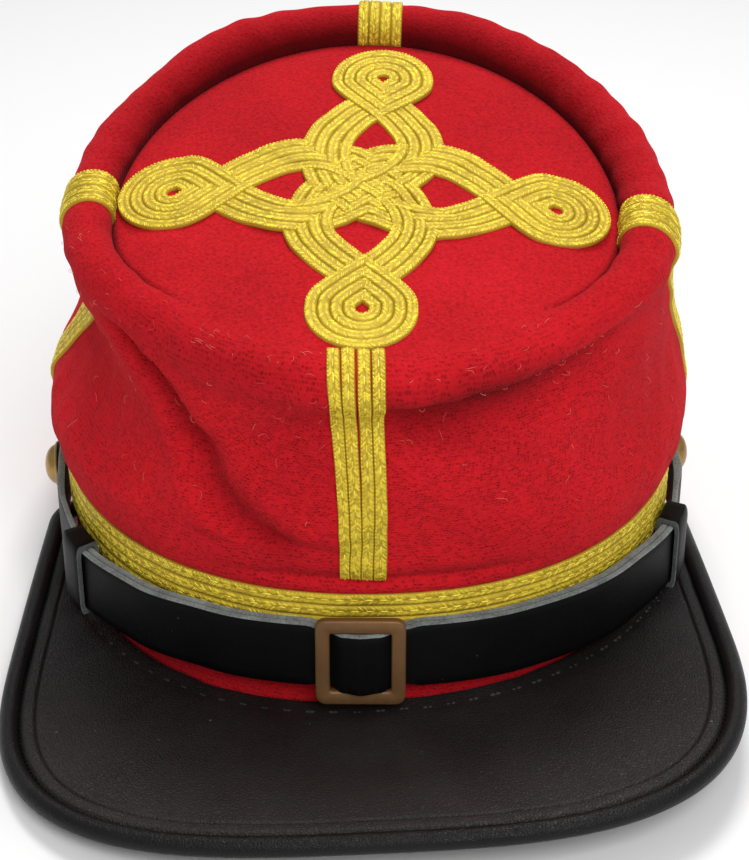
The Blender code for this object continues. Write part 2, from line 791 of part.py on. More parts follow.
def strap_ring(degrees, grow, squeeze=1.0):
    """Four corners of the strap's section, grown by a margin on every side."""
    stand_off, thickness, middle, width = strap_section(degrees)
    half = 0.5 * width * squeeze + grow
    low = middle - half
    high = middle + half
    inner = stand_off - grow
    outer = stand_off + thickness + grow
    return (
        band_point(degrees, outer, low),
        band_point(degrees, outer, high),
        band_point(degrees, inner, high),
        band_point(degrees, inner, low),
    )


def strap_angles():
    """Angles of the strap's sections: even steps, and finer ones over the buckle."""
    first = STRAP_STATIONS[0][0]
    last = STRAP_STATIONS[-1][0]
    fine = [BUCKLE_ANGLE + math.degrees(row[0] / BAND_HALF_WIDTH) for row in BUCKLE_BULGE]
    pitch = FULL_TURN / SEGMENTS
    even = [first + pitch * step for step in range(int((last - first) / pitch) + 1)]
    even = [angle for angle in even if angle < fine[0] - 1.0 or angle > fine[-1] + 1.0]
    return sorted(even + fine)


def make_chin_strap(parts):
    """Leather strap from button to button across the front of the band."""
    sections = [strap_ring(angle, 0.0) for angle in strap_angles()]
    tip = math.degrees(STRAP_TIP / BAND_HALF_WIDTH)
    first = STRAP_STATIONS[0][0]
    last = STRAP_STATIONS[-1][0]
    sections.insert(0, strap_ring(first - 0.6 * tip, 0.0, 0.80))
    sections.insert(0, strap_ring(first - tip, 0.0, 0.45))
    sections.append(strap_ring(last + 0.6 * tip, 0.0, 0.80))
    sections.append(strap_ring(last + tip, 0.0, 0.45))
    mesh = loop_mesh("chin_strap", sections, closed=False)
    point_faces_outward(mesh)
    return finish_object("chin_strap", mesh, "black_leather", parts)


def make_keeper(side, parts):
    """Leather loop that holds the strap's two layers together."""
    name = "keeper_" + side
    centre = KEEPER_ANGLES[side]
    half = math.degrees(0.5 * KEEPER_WIDTH / BAND_HALF_LENGTH)
    columns = [centre + half * share for share in (-1.0, -0.33, 0.33, 1.0)]
    outer = [strap_ring(angle, CLEARANCE + KEEPER_WALL) for angle in columns]
    inner = [strap_ring(angle, CLEARANCE + 0.0001) for angle in columns]
    mesh = bpy.data.meshes.new(name)
    work = bmesh.new()
    rings = [[work.verts.new(point) for point in ring] for ring in outer + inner]
    count = len(columns)
    for shell in (rings[:count], rings[count:]):
        for near, far in zip(shell, shell[1:]):
            for corner in range(4):
                following = (corner + 1) % 4
                work.faces.new((near[corner], far[corner], far[following], near[following]))
    for end in (0, count - 1):
        for corner in range(4):
            following = (corner + 1) % 4
            outside = rings[end]
            inside = rings[count + end]
            work.faces.new((outside[corner], outside[following], inside[following], inside[corner]))
    bmesh.ops.recalc_face_normals(work, faces=work.faces)
    work.to_mesh(mesh)
    work.free()
    return finish_object(name, mesh, "black_leather", parts)


# ---------------------------------------------------------------- brass pieces
def rounded_rectangle(width, height, corner, steps):
    """Outline of a rectangle with round corners."""
    points = []
    for quarter, (sx, sy) in enumerate(((1, 1), (-1, 1), (-1, -1), (1, -1))):
        for step in range(steps + 1):
            angle = math.radians(90.0 * (quarter + step / steps))
            x = sx * (0.5 * width - corner) + corner * math.cos(angle)
            y = sy * (0.5 * height - corner) + corner * math.sin(angle)
            points.append((x, y))
    return points


def add_outline(curve, points):
    """A closed straight-edged outline on a flat curve."""
    spline = curve.splines.new('POLY')
    spline.points.add(len(points) - 1)
    for target, (x, y) in zip(spline.points, points):
        target.co = (x, y, 0.0, 1.0)
    spline.use_cyclic_u = True


def make_buckle(parts):
    """Square brass frame with a hidden centre bar that the strap climbs over."""
    curve = bpy.data.curves.new("buckle_outline", 'CURVE')
    curve.dimensions = '2D'
    curve.fill_mode = 'BOTH'
    curve.extrude = 0.5 * BUCKLE_THICKNESS
    add_outline(curve, rounded_rectangle(BUCKLE_WIDTH, BUCKLE_HEIGHT, BUCKLE_CORNER, 4))
    window_width = BUCKLE_WIDTH - 2.0 * BUCKLE_BAR
    window_height = BUCKLE_HEIGHT - 2.0 * BUCKLE_BAR
    add_outline(curve, rounded_rectangle(window_width, window_height, 0.0006, 2))
    outline = bpy.data.objects.new("buckle_outline", curve)
    parts.objects.link(outline)
    mesh = evaluated_mesh(outline)
    bpy.data.objects.remove(outline, do_unlink=True)
    work = bmesh.new()
    work.from_mesh(mesh)
    bmesh.ops.remove_doubles(work, verts=work.verts, dist=0.00001)
    bmesh.ops.recalc_face_normals(work, faces=work.faces)
    work.to_mesh(mesh)
    work.free()
    frame = bpy.data.objects.new("buckle_frame", mesh)
    parts.objects.link(frame)

    # the centre bar lies behind the strap, and two short posts join it to the frame
    behind = BUCKLE_STAND_OFF - (CLEARANCE + BRAID_THICKNESS + CLEARANCE)
    back = -0.5 * BUCKLE_THICKNESS - behind
    post = 0.0011
    bar_half = 0.5 * window_height + post
    boxes = (
        # half_width, low, high, back, front
        (0.5 * CENTRE_BAR_WIDTH, -bar_half, bar_half, back, back + CENTRE_BAR_THICKNESS),
        (0.5 * CENTRE_BAR_WIDTH, bar_half - post, bar_half, back, 0.0),
        (0.5 * CENTRE_BAR_WIDTH, -bar_half, post - bar_half, back, 0.0),
    )
    helpers = []
    for index, (half_width, low, high, rear, front) in enumerate(boxes):
        box = bpy.data.meshes.new("bar")
        work = bmesh.new()
        bmesh.ops.create_cube(work, size=1.0)
        bmesh.ops.scale(work, vec=(2.0 * half_width, high - low, front - rear), verts=work.verts)
        middle = (0.0, 0.5 * (low + high), 0.5 * (rear + front))
        bmesh.ops.translate(work, vec=middle, verts=work.verts)
        work.to_mesh(box)
        work.free()
        helper = bpy.data.objects.new("bar_" + str(index), box)
        parts.objects.link(helper)
        helpers.append(helper)
        merge = frame.modifiers.new("merge_" + str(index), 'BOOLEAN')
        merge.operation = 'UNION'
        merge.solver = 'EXACT'
        merge.object = helper
    mesh = evaluated_mesh(frame)
    for helper in helpers + [frame]:
        bpy.data.objects.remove(helper, do_unlink=True)

    middle = strap_section(BUCKLE_ANGLE)[2]
    seat = band_point(BUCKLE_ANGLE, BUCKLE_STAND_OFF + 0.5 * BUCKLE_THICKNESS, middle)
    lean = Matrix.Identity(4)
    lean[1][2] = BAND_LEAN
    upright = Matrix.Rotation(math.radians(90.0), 4, 'X')
    mesh.transform(Matrix.Translation(seat) @ lean @ upright)
    return finish_object("buckle", mesh, "old_brass", parts)


def make_button(side, parts):
    """Plain domed button, turned from a profile, whose shank rests on the strap's end."""
    name = "button_" + side
    degrees = BUTTON_ANGLES[side]
    stand_off, thickness, middle, _ = strap_section(degrees if degrees > 174.0 else degrees + FULL_TURN)
    profile = (
        # radius, height above the strap
        (0.0000, 0.0050),
        (0.0026, 0.0047),
        (0.0048, 0.0039),
        (0.0060, 0.0028),
        (BUTTON_RADIUS - 0.0003, 0.0017),
        (BUTTON_RADIUS, 0.0012),
        (BUTTON_RADIUS - 0.0003, 0.0008),
        (0.0030, 0.0006),
        (0.0026, 0.0000),
        (0.0000, 0.0000),
    )
    mesh = bpy.data.meshes.new(name + "_profile")
    edges = [(index, index + 1) for index in range(len(profile) - 1)]
    mesh.from_pydata([(radius, 0.0, height) for radius, height in profile], edges, [])
    turning = bpy.data.objects.new(name + "_profile", mesh)
    parts.objects.link(turning)
    screw = turning.modifiers.new("turn", 'SCREW')
    screw.steps = 20
    screw.render_steps = 20
    screw.use_merge_vertices = True
    screw.merge_threshold = 0.00005
    solid = evaluated_mesh(turning)
    bpy.data.objects.remove(turning, do_unlink=True)
    point_faces_outward(solid)

    seat = band_point(degrees, stand_off + thickness + CLEARANCE, middle)
    base = band_point(degrees, stand_off, middle)
    outward = (seat - base).normalized()
    solid.transform(Matrix.Translation(seat) @ outward.to_track_quat('Z', 'Y').to_matrix().to_4x4())
    return finish_object(name, solid, "old_brass", parts)


# ---------------------------------------------------------------- assembly
def build():
    """Make every piece of the kepi."""
    clear_scene()
    parts = new_collection("kepi_cap")
    make_band(parts)
    make_crown_side(parts)
    make_crown_top(parts)
    make_band_braid(parts)
    ridge = len(HEM_STATIONS) + len(WALL_FRACTIONS) + len(ARC_ANGLES) - 1
    crease = ridge + len(INNER_ANGLES) - 1
    make_crown_braid("front_braid", BRAID_LINES["front"], FRONT_BRAID_WIDTH, ridge, parts)
    for side in ("back", "left", "right"):
        make_crown_braid(side + "_braid", BRAID_LINES[side], BRAID_WIDTH, crease, parts)
    make_top_knot(parts)
    make_peak(parts)
    make_peak_binding(parts)
    make_chin_strap(parts)
    for side in ("left", "right"):
        make_keeper(side, parts)
        make_button(side, parts)
    make_buckle(parts)
    cap = bpy.data.objects.new("kepi_middle", None)
    parts.objects.link(cap)
    for piece in parts.objects:
        if piece is not cap:
            piece.parent = cap
    cap.location = BAND_CENTRE


build()
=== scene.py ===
"""Looks of the officer's kepi: wool cloth, gold braid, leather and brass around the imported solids."""

import math

import bpy
import numpy as np
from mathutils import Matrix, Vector


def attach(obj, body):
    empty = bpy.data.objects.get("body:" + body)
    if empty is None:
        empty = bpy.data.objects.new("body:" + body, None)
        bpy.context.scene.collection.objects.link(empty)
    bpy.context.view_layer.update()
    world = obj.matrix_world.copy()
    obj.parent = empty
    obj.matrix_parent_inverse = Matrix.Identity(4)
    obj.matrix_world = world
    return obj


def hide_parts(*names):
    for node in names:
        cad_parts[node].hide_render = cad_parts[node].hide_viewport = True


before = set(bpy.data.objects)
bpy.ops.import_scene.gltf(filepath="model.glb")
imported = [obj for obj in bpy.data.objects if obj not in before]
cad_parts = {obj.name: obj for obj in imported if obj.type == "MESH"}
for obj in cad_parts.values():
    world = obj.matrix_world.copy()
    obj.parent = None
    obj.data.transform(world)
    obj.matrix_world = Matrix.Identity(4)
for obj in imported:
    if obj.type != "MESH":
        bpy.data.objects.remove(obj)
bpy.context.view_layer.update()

# ---- driving dimensions, in metres and degrees
FULL_TURN = 360.0
UP = np.array((0.0, 0.0, 1.0))
CLEARANCE = 0.0003

# head band
BAND_CENTRE = np.array((-0.0012, 0.025, 0.0))
BAND_HALF_WIDTH = 0.0865
BAND_HALF_LENGTH = 0.102
BAND_EXPONENT = 2.16
BAND_TURN = 2.7
BAND_LEAN = 0.15
BAND_HEIGHT = 0.0384
CLOTH_WALL = 0.002

# crown top
DISC_CENTRE = np.array((0.0005, -0.034, 0.1213))
DISC_HALF_WIDTH = 0.0657
DISC_HALF_LENGTH = 0.067
DISC_TILT = 15.6
DISC_TURN = -2.4
DISC_ROLL = -1.4
DISC_DOME = 0.0056
DOME_REACH = 0.062
DISC_SINK = 0.0015
ROLL_RADIUS = 0.0065
RIDGE_RADIUS = 0.008
BEAD_DROP = 0.0005
INNER_DROP = 0.0034
RIDGE_SETBACK = 0.003
SEAM_SETBACK = 0.006
WALL_UPWARD_PULL = 0.75
WALL_INWARD_PULL = 0.55

# stations number the rows of the crown's cloth from its hem to its crease
HEM_END = 3.0
WALL_END = 8.0
RIM_TOP = 12.0
RIM_END = 15.0
CREASE = 16.0
RIM_TURNS = (
    # station, angle round the roll's section
    (8.0, -35.0), (9.0, 0.0), (10.0, 30.0), (11.0, 60.0), (12.0, 90.0), (13.0, 125.0), (14.0, 160.0), (15.0, 180.0),
)
# the hem is turned under above the gold braid, and the wall bulges out over its seam
PLAIN_HEM = ((0.0, 0.0005), (0.3, 0.0014), (1.0, 0.0025), (3.0, 0.0044))  # station, stand_off
HEM_PROFILE = (
    # where it is creased: station, stand_off, height above the band
    (0.0, 0.0005, 0.0001), (0.3, 0.0014, 0.001), (0.7, 0.0016, 0.0026), (1.0, 0.0011, 0.0038),
    (1.2, 0.0002, 0.0046), (1.5, 0.001, 0.0055), (1.8, 0.0028, 0.0066), (2.2, 0.0039, 0.0086),
    (3.0, 0.0044, 0.0125),
)
HEM_CREASE_ANGLE = 271.0
HEM_CREASE_SPREAD = 21.0
# soft dents and bulges of the wall
DENTS = (
    # angle, height, half_angle, half_height, depth, slant
    (238.0, 0.48, 7.0, 0.42, 0.003, -55.0), (252.0, 0.62, 5.0, 0.2, 0.0014, -40.0),
    (303.0, 0.86, 20.0, 0.16, 0.0026, 0.0), (308.0, 0.45, 9.0, 0.28, 0.0015, 30.0),
    (197.0, 0.44, 30.0, 0.27, 0.013, 0.0), (160.0, 0.8, 24.0, 0.2, 0.003, 0.0),
    (262.0, 0.3, 14.0, 0.3, -0.0012, 0.0), (336.0, 0.46, 20.0, 0.26, 0.0026, 0.0),
    (120.0, 0.62, 16.0, 0.26, 0.003, 30.0), (70.0, 0.5, 14.0, 0.28, 0.0026, -30.0),
)
# where the roll rises and fades, and where it is fuller, by angle round the disc
ROLL_STRENGTH = (
    # angle, strength
    (0.0, 1.0), (196.0, 1.0), (232.0, 0.0), (310.0, 0.0), (347.0, 1.0), (360.0, 1.0),
)
ROLL_SWELL = (
    # angle, growth of its radius
    (0.0, 0.0007), (32.0, 0.0012), (66.0, 0.0008), (90.0, 0.0), (104.0, 0.0002), (124.0, 0.0014), (146.0, 0.0002),
    (158.0, 0.0002), (185.0, -0.0002), (215.0, -0.0008), (320.0, -0.0002), (360.0, 0.0007),
)
# creases of the soft wall, finer than the dents: each runs between two places
FOLDS = (
    # from angle, height, to angle, height, half width, depth
    (220.0, 0.95, 254.0, 0.08, 0.0055, 0.0038), (284.0, 0.9, 320.0, 1.05, 0.015, 0.0033),
    (286.0, 0.78, 300.0, 0.36, 0.0085, 0.0009), (60.0, 0.85, 84.0, 0.2, 0.006, 0.0022),
    (122.0, 0.9, 104.0, 0.25, 0.006, 0.002), (24.0, 0.75, 46.0, 0.3, 0.006, 0.002),
    (150.0, 0.7, 136.0, 0.2, 0.006, 0.0018),
)
PAINTED_SHADES = (
    # patches of painted shade on the wall and the rim: angle, station, half widths of both, share
    (298.0, 8.8, 16.0, 1.4, 0.74), (243.0, 10.4, 16.0, 1.5, 0.22), (228.0, 9.0, 9.0, 2.6, 0.14),
    (276.0, 8.9, 5.0, 1.1, 0.26),
)
WALL_TALL = 0.07  # height of the wall, for the folds
HEM_RIPPLE_HEIGHT = 0.00035
DISC_RIPPLE_HEIGHT = 0.00016
BAND_RIPPLE_HEIGHT = 0.00012
RIPPLE_HEIGHT = 0.00022

# peak
PEAK_BASE_HEIGHT = 0.0042
PEAK_THICKNESS = 0.0025
PEAK_HALF_WIDTH = 0.0963
PEAK_WIDEST_Y = -0.0712
PEAK_FRONT_Y = -0.1579
PEAK_EXPONENT = 3.13
PEAK_END_HALF_WIDTH = 0.0958
PEAK_END_Y = -0.0091
PEAK_RISE = 3.0
PEAK_TWIST = 2.9
PEAK_TURN = 1.2
PEAK_REACH = 0.09
PEAK_END_SHARE = 0.08
PEAK_SIDE_SHARE = 0.38
PEAK_FIRST_SHARE = 0.045
BINDING_FIRST_SHARE = 0.01
SEAM_DISTANCE = 0.004  # from the band to the peak's seam
PEAK_RIPPLE_HEIGHT = 0.00014
PEAK_SEAT_ANGLES = (358.6, 177.8)  # right, left
BINDING_RADIUS = 0.0025

# chin strap, buckle, keepers and buttons
STRAP_HEIGHT = 0.0172
STRAP_TIP = 0.0055
STRAP_STATIONS = (
    # angle, stand_off, thickness, height of its middle line
    (174.0, 0.0017, 0.0018, 0.0218), (188.0, 0.0021, 0.002, 0.0216), (200.0, 0.0034, 0.003, 0.0214),
    (212.0, 0.0042, 0.0034, 0.0214), (228.0, 0.0028, 0.0034, 0.022), (243.0, 0.0018, 0.0034, 0.0231),
    (260.0, 0.0018, 0.0034, 0.024), (275.0, 0.0018, 0.0034, 0.024), (292.0, 0.0018, 0.0034, 0.0235),
    (315.0, 0.0024, 0.0034, 0.0223), (332.0, 0.0038, 0.0034, 0.0212), (345.0, 0.0028, 0.0028, 0.0213),
    (354.0, 0.002, 0.002, 0.0216), (366.0, 0.0017, 0.0018, 0.0218),
)
# the strap climbs over the buckle's centre bar and swells out of its window
BUCKLE_BULGE = (
    # sideways, extra stand_off, width
    (-0.012, 0.0, 0.0172), (-0.0082, 0.0001, 0.0156), (-0.006, 0.0014, 0.0152), (-0.0034, 0.0034, 0.016),
    (0.0, 0.0041, 0.0164), (0.0034, 0.0034, 0.016), (0.006, 0.0014, 0.0152), (0.0082, 0.0001, 0.0156),
    (0.012, 0.0, 0.0172),
)
BUCKLE_ANGLE = 267.3
BUCKLE_WIDTH = 0.0225
BUCKLE_HEIGHT = 0.0232
BUCKLE_BAR = 0.0036
BUCKLE_THICKNESS = 0.0022
BUCKLE_CORNER = 0.0026
BUCKLE_STAND_OFF = 0.0056
CENTRE_BAR_WIDTH = 0.003
CENTRE_BAR_THICKNESS = 0.0015
KEEPER_WIDTH = 0.011
KEEPER_WALL = 0.0013
KEEPER_ANGLES = {"left": 212.0, "right": 332.0}
BUTTON_PROFILE = (
    # radius, height above the strap
    (0.0012, 0.0), (0.0026, 0.0), (0.0027, 0.0005), (0.0034, 0.0006), (0.0058, 0.0007), (0.0066, 0.0009),
    (0.0069, 0.0012), (0.0068, 0.0016), (0.0064, 0.0019), (0.0061, 0.0019), (0.0059, 0.0022), (0.0054, 0.0031),
    (0.0046, 0.0039), (0.0036, 0.0045), (0.0024, 0.0049), (0.0012, 0.0051),
)
BUTTON_TOP = 0.0052
BUTTON_ANGLES = {"left": 181.1, "right": 358.9}

# gold braid: rows side by side, each of two cords wrapped in slanting threads
BRAID_WIDTH = 0.0124
BRAID_THICKNESS = 0.0008
BRAID_ROWS = 4
BRAID_SINK = 0.0003  # the braid's back lies a little inside the nap
CORD_GROOVE = 0.0001  # between a row's two cords
ROW_GROOVE = 0.00055  # between two rows
BRAID_LINES = {
    "front": (
        (1.25, 267.46), (3.0, 267.53), (4.0, 267.84), (5.0, 268.63), (6.0, 269.65), (7.0, 270.66),
        (8.0, 271.16), (9.0, 271.19), (10.0, 270.95), (12.0, 270.54), (15.0, 270.38)),
    "back": ((1.1, 88.0), (8.0, 90.0), (15.8, 90.0)),
    "left": ((1.1, 177.0), (8.0, 182.0), (15.8, 182.0)),
    "right": ((1.1, 357.0), (8.0, 356.2), (15.8, 356.2)),
}
FRONT_ROW_WIDTH = 0.00288
FRONT_ROWS = (
    # row's place from the middle in rows, and how far the middle and the outer slits push it aside
    (-1.5, -0.00024, -0.00022), (-0.5, -0.00024, 0.0), (0.5, 0.00024, 0.0), (1.5, 0.00024, 0.00022),
)
THREAD_HEIGHT = 0.0004
THREAD_SIZES = ("Pitch", "Length", "Width", "Height", "Unevenness")
THREAD_SORTS = {
    # pitch, length, width, height, unevenness, and what each adds to the braid's seed
    "threads": (0.0006, 0.00165, 0.00044, THREAD_HEIGHT, 0.28, 0),
    "borders": (0.001, 0.0007, 0.00036, THREAD_HEIGHT, 0.15, 2),  # bright stitches along a braid's sides
    "couching": (0.0037, 0.0027, 0.00062, THREAD_HEIGHT, 0.12, 1),  # long stitches down each row
}
BRAID_LIFT = 0.0001  # the climbing braids' back above the cloth
BORDER_SLANT = 0.25
BORDER_INSET = 0.00034  # from a row's side to the middle of those stitches
THREAD_SLANT = 1.0  # sideways run for each unit along the cord
CORD_DRAW = 0.00007  # how far a row's two cords are drawn to its middle

# top knot, in the plane of the disc
KNOT_LOBE_RADIUS = 0.008
KNOT_LOBE_CENTRE = 0.0496
KNOT_LOBE_STEPS = 8
KNOT_LOBE_OVERTURN = 22.0
KNOT_STEPS = 9
KNOT_ROW = 0.0032  # from the middle of one row to the next
KNOT_OVER = 0.00055  # height of the upper row where two cross
KNOT_FLAT = 0.00005  # height of a row that crosses none
KNOT_STEP = 0.0007  # the upper row's reach past the line where two strands meet
KNOT_ARMS = (
    # angle, turn, scale
    (0.0, -4.2, 0.979), (90.0, -2.4, 0.946), (180.0, 2.2, 1.004), (270.0, 1.4, 0.96), (360.0, -4.2, 0.979),
)
KNOT_SPREADS = (
    # by arm from the right one round: how far its strand out and its strand back swing wide
    (0.002, 0.0011), (0.0027, 0.0012), (0.0004, 0.001), (0.0007, -0.0003),
)
KNOT_GUIDE = (
    # along and across the arm, share of the strand's draw to the centre, share of its spread
    (-0.0043, 0.0043, 1.0, 0.0), (0.0, 0.0083, 0.8, 0.15), (0.0075, 0.0111, 0.35, 0.7), (0.015, 0.0122, 0.08, 1.0),
    (0.022, 0.0112, 0.0, 0.9), (0.028, 0.0084, 0.0, 0.45), (0.0335, 0.0046, 0.0, 0.0),
)
KNOT_NECK = 0.027  # crossings farther out than this are at an arm's neck
KNOT_CENTRE_STRANDS = (
    # by the arm that a strand comes from: draw to the centre, height of its inner row, reach of that height
    (0.0, 0.0, 0.006), (0.003, 0.8, 0.0125), (0.0034, 1.25, 0.015), (0.0, 0.0, 0.006),
)

# weave of the wool
WEAVE_PITCH = 0.0012
WALL_THREADS = 500  # threads once round the wall, so that the weave meets itself
# PIT_STRENGTH sets how deep the pits are, both in relief and in painted shade
PIT_STRENGTH = 0.68  # of the pits between the weave's threads
FIBRE_RANGES = (
    # degrees, station, slant, bend, length and lift of the loose fibres
    (190.0, 350.0), (3.6, 12.5), (0.0, 2.0 * np.pi), (-2.2, 2.2), (0.0016, 0.0042), (0.0003, 0.0012),
)
FIBRE_COUNT = 170
FIBRE_STEPS = 8
FIBRE_RADIUS = 0.00005
FELT_SCALE = 980.0  # tufts of the felted cloth in one metre


# ---- small helpers
def smoothstep(value):
    """Ease from 0 to 1 for values between 0 and 1."""
    value = np.clip(value, 0.0, 1.0)
    return value * value * (3.0 - 2.0 * value)


def bell(value):
    """1 at 0, falling softly on both sides."""
    return np.exp(-(value**2))


def read_table(table, key):
    """Other columns of a table at each key, eased between its rows."""
    table, key = np.array(table, float), np.asarray(key, float)
    keys = table[:, 0]
    index = np.clip(np.searchsorted(keys, key) - 1, 0, len(keys) - 2)
    share = smoothstep((key - keys[index]) / (keys[index + 1] - keys[index]))
    return [column[index] * (1.0 - share) + column[index + 1] * share for column in table.T[1:]]


def read_line(table, key):
    """Other columns of a table at each key, straight between its rows."""
    table = np.array(table, float)
    return [np.interp(key, table[:, 0], column) for column in table.T[1:]]


def turned(x, y, degrees):
    """A point turned about the vertical axis."""
    angle = np.radians(degrees)
    return x * np.cos(angle) - y * np.sin(angle), x * np.sin(angle) + y * np.cos(angle)


def signed_power(value, power):
    """Power of a number's size that keeps its sign."""
    return np.sign(value) * np.abs(value) ** power


def vectors(x, y, z):
    """Arrays of coordinates as one array of points."""
    return np.stack(np.broadcast_arrays(x, y, z), axis=-1).astype(float)


def unit(points):
    """Vectors at length 1."""
    return points / np.maximum(np.linalg.norm(points, axis=-1, keepdims=True), 1e-12)


def sheet_normals(points):
    """Unit normals of a grid of points whose columns go round the cap."""
    across = np.roll(points, -1, axis=1) - np.roll(points, 1, axis=1)
    return unit(np.cross(across, np.gradient(points, axis=0)))


# ---- shape of the cap
def band_point(degrees, stand_off, height):
    """Point that stands off the band's outer face, at a height above the ground."""
    degrees, stand_off, height = np.broadcast_arrays(degrees, stand_off, height)
    turn = np.radians(degrees)
    power = 2.0 / BAND_EXPONENT
    x = (BAND_HALF_WIDTH + stand_off) * signed_power(np.cos(turn), power)
    y = (BAND_HALF_LENGTH + stand_off) * signed_power(np.sin(turn), power)
    y = y - np.where(y < 0.0, BAND_LEAN * height * np.sin(turn), 0.0)
    x, y = turned(x, y, BAND_TURN)
    return vectors(x, y, height) + BAND_CENTRE


def disc_point(x, along, rise):
    """Point in the disc's own plane: to the right, to the back, and above it."""
    rise = rise - DISC_DOME * (x / DOME_REACH) ** 2
    roll = math.radians(DISC_ROLL)
    x, rise = x * math.cos(roll) - rise * math.sin(roll), x * math.sin(roll) + rise * math.cos(roll)
    tilt = math.radians(DISC_TILT)
    y = along * math.cos(tilt) - rise * math.sin(tilt)
    z = along * math.sin(tilt) + rise * math.cos(tilt)
    x, y = turned(x, y, DISC_TURN)
    return vectors(x, y, z) + DISC_CENTRE + BAND_CENTRE


def rim_point(degrees, outward, rise):
    """Point outward from the disc's crease line and above the disc's plane."""
    angle = np.radians(degrees)
    x = (DISC_HALF_WIDTH + outward) * np.cos(angle)
    along = (DISC_HALF_LENGTH + outward) * np.sin(angle)
    return disc_point(x, along, rise)


def roll_strength(degrees):
    """1 where the padded roll stands round the disc, 0 along the front ridge."""
    return read_table(ROLL_STRENGTH, degrees % FULL_TURN)[0]


def rim_cloth(degrees, station, depth):
    """Cloth over the rim: a round roll, or at the front a ridge that runs on flat to the disc."""
    strength = roll_strength(degrees)
    radius = ROLL_RADIUS + read_table(ROLL_SWELL, degrees % FULL_TURN)[0]
    turn = np.radians(read_line(RIM_TURNS, station)[0])
    drop = np.clip(station - RIM_END, 0.0, 1.0) * (INNER_DROP - BEAD_DROP)
    bead_out = radius + (radius - depth) * np.cos(turn)
    bead_rise = (radius - depth) * np.sin(turn) - BEAD_DROP - drop
    flat = np.clip((station - RIM_TOP) / (CREASE - RIM_TOP), 0.0, 1.0)
    turn = np.minimum(turn, np.pi / 2.0)
    ridge_out = (RIDGE_RADIUS - depth) * np.cos(turn) - RIDGE_SETBACK
    ridge_out = ridge_out - (SEAM_SETBACK - RIDGE_SETBACK) * flat
    ridge_rise = (RIDGE_RADIUS - depth) * np.sin(turn) - RIDGE_RADIUS
    outward = ridge_out + (bead_out - ridge_out) * strength
    return rim_point(degrees, outward, ridge_rise + (bead_rise - ridge_rise) * strength)


def angle_apart(first, second):
    """Signed difference of angles in degrees, between -180 and 180."""
    return (first - second + 180.0) % FULL_TURN - 180.0


def wall_height(station):
    """Height on the wall, from 0 above the hem to 1 at the rim."""
    return (station - HEM_END) / (WALL_END - HEM_END)


def dent_depth(degrees, height):
    """How far the wall is pushed in at a height on it."""
    depth = np.zeros(np.broadcast(degrees, height).shape)
    for angle, middle, half_angle, half_height, deepest, slant in DENTS:
        up = (height - middle) / half_height
        across = angle_apart(degrees, angle - slant * (height - middle)) / half_angle
        depth = depth + deepest * np.exp(-(up * up + across * across))
    return depth * smoothstep(height / 0.2) * smoothstep((1.0 - height) / 0.2)


def wall_cloth(degrees, height, depth):
    """Cloth of the wall between the hem and the rim: a curve that leaves upward and arrives inward."""
    hem_off, hem_up = HEM_PROFILE[-1][1:]
    low = band_point(degrees, hem_off - depth, BAND_HEIGHT + hem_up)
    high = rim_cloth(degrees, np.full_like(height, WALL_END), depth)
    span = np.linalg.norm(high - low, axis=-1)[..., None]
    axis = unit(disc_point(0.0, 0.0, 0.01) - disc_point(0.0, 0.0, 0.0))
    part = np.clip(height, 0.0, 1.0)[..., None]
    square = part * part
    cube = square * part
    point = low * (2.0 * cube - 3.0 * square + 1.0) + high * (3.0 * square - 2.0 * cube)
    point = point + np.array((0.0, 0.0, WALL_UPWARD_PULL)) * span * (cube - 2.0 * square + part)
    point = point + axis * (WALL_INWARD_PULL * span) * (cube - square)
    turn = np.radians(degrees)
    return point - vectors(np.cos(turn), np.sin(turn), 0.0) * dent_depth(degrees, height)[..., None]


def crown_cloth(degrees, station, depth):
    """Cloth of the crown, by angle and station, at a depth under its outer face."""
    degrees, station = np.broadcast_arrays(np.asarray(degrees, float), np.asarray(station, float))
    hem_off, hem_up = read_line(HEM_PROFILE, station)
    plain = read_line(PLAIN_HEM, station)[0]
    creased = np.exp(-(angle_apart(degrees, HEM_CREASE_ANGLE) / HEM_CREASE_SPREAD) ** 4)
    hem = band_point(degrees, plain + (hem_off - plain) * creased - depth, BAND_HEIGHT + hem_up)
    wall = wall_cloth(degrees, wall_height(station), depth)
    choice = station[..., None]
    return np.where(choice < HEM_END, hem, np.where(choice < WALL_END, wall, rim_cloth(degrees, station, depth)))


def fold_depth(degrees, height):
    """Valleys of the wall, with a low swell along each side."""
    metres = math.radians(1.0) * BAND_HALF_WIDTH
    depth = np.zeros(np.broadcast(degrees, height).shape)
    for angle_a, height_a, angle_b, height_b, half_width, deepest in FOLDS:
        across = angle_apart(degrees, angle_a) * metres
        up = (height - height_a) * WALL_TALL
        run = np.array(((angle_b - angle_a) * metres, (height_b - height_a) * WALL_TALL))
        length = np.linalg.norm(run)
        share = (across * run[0] + up * run[1]) / length**2
        aside = (across * run[1] - up * run[0]) / length
        beyond = np.maximum(np.maximum(-share, share - 1.0), 0.0) * length
        swell = bell((np.abs(aside) - 2.0 * half_width) / half_width)
        fade = bell(beyond / (1.6 * half_width))
        depth = depth + deepest * fade * (bell(aside / half_width) - 0.35 * swell)
    return depth


def ripple(u, v, seed, count=14, finest=0.01):
    """Soft random unevenness between about -1 and 1; u is an angle in degrees, v is in metres."""
    dice = np.random.default_rng(seed)
    total = np.zeros(np.broadcast(u, v).shape)
    for _ in range(count):
        turns = dice.integers(3, 48)
        wave = finest * (1.0 + 3.0 * dice.random())
        phase = dice.random() * 2.0 * np.pi
        sign = dice.choice((-1.0, 1.0))
        total = total + np.sin(np.radians(u) * turns + sign * v * 2.0 * np.pi / wave + phase)
    return total / math.sqrt(count)


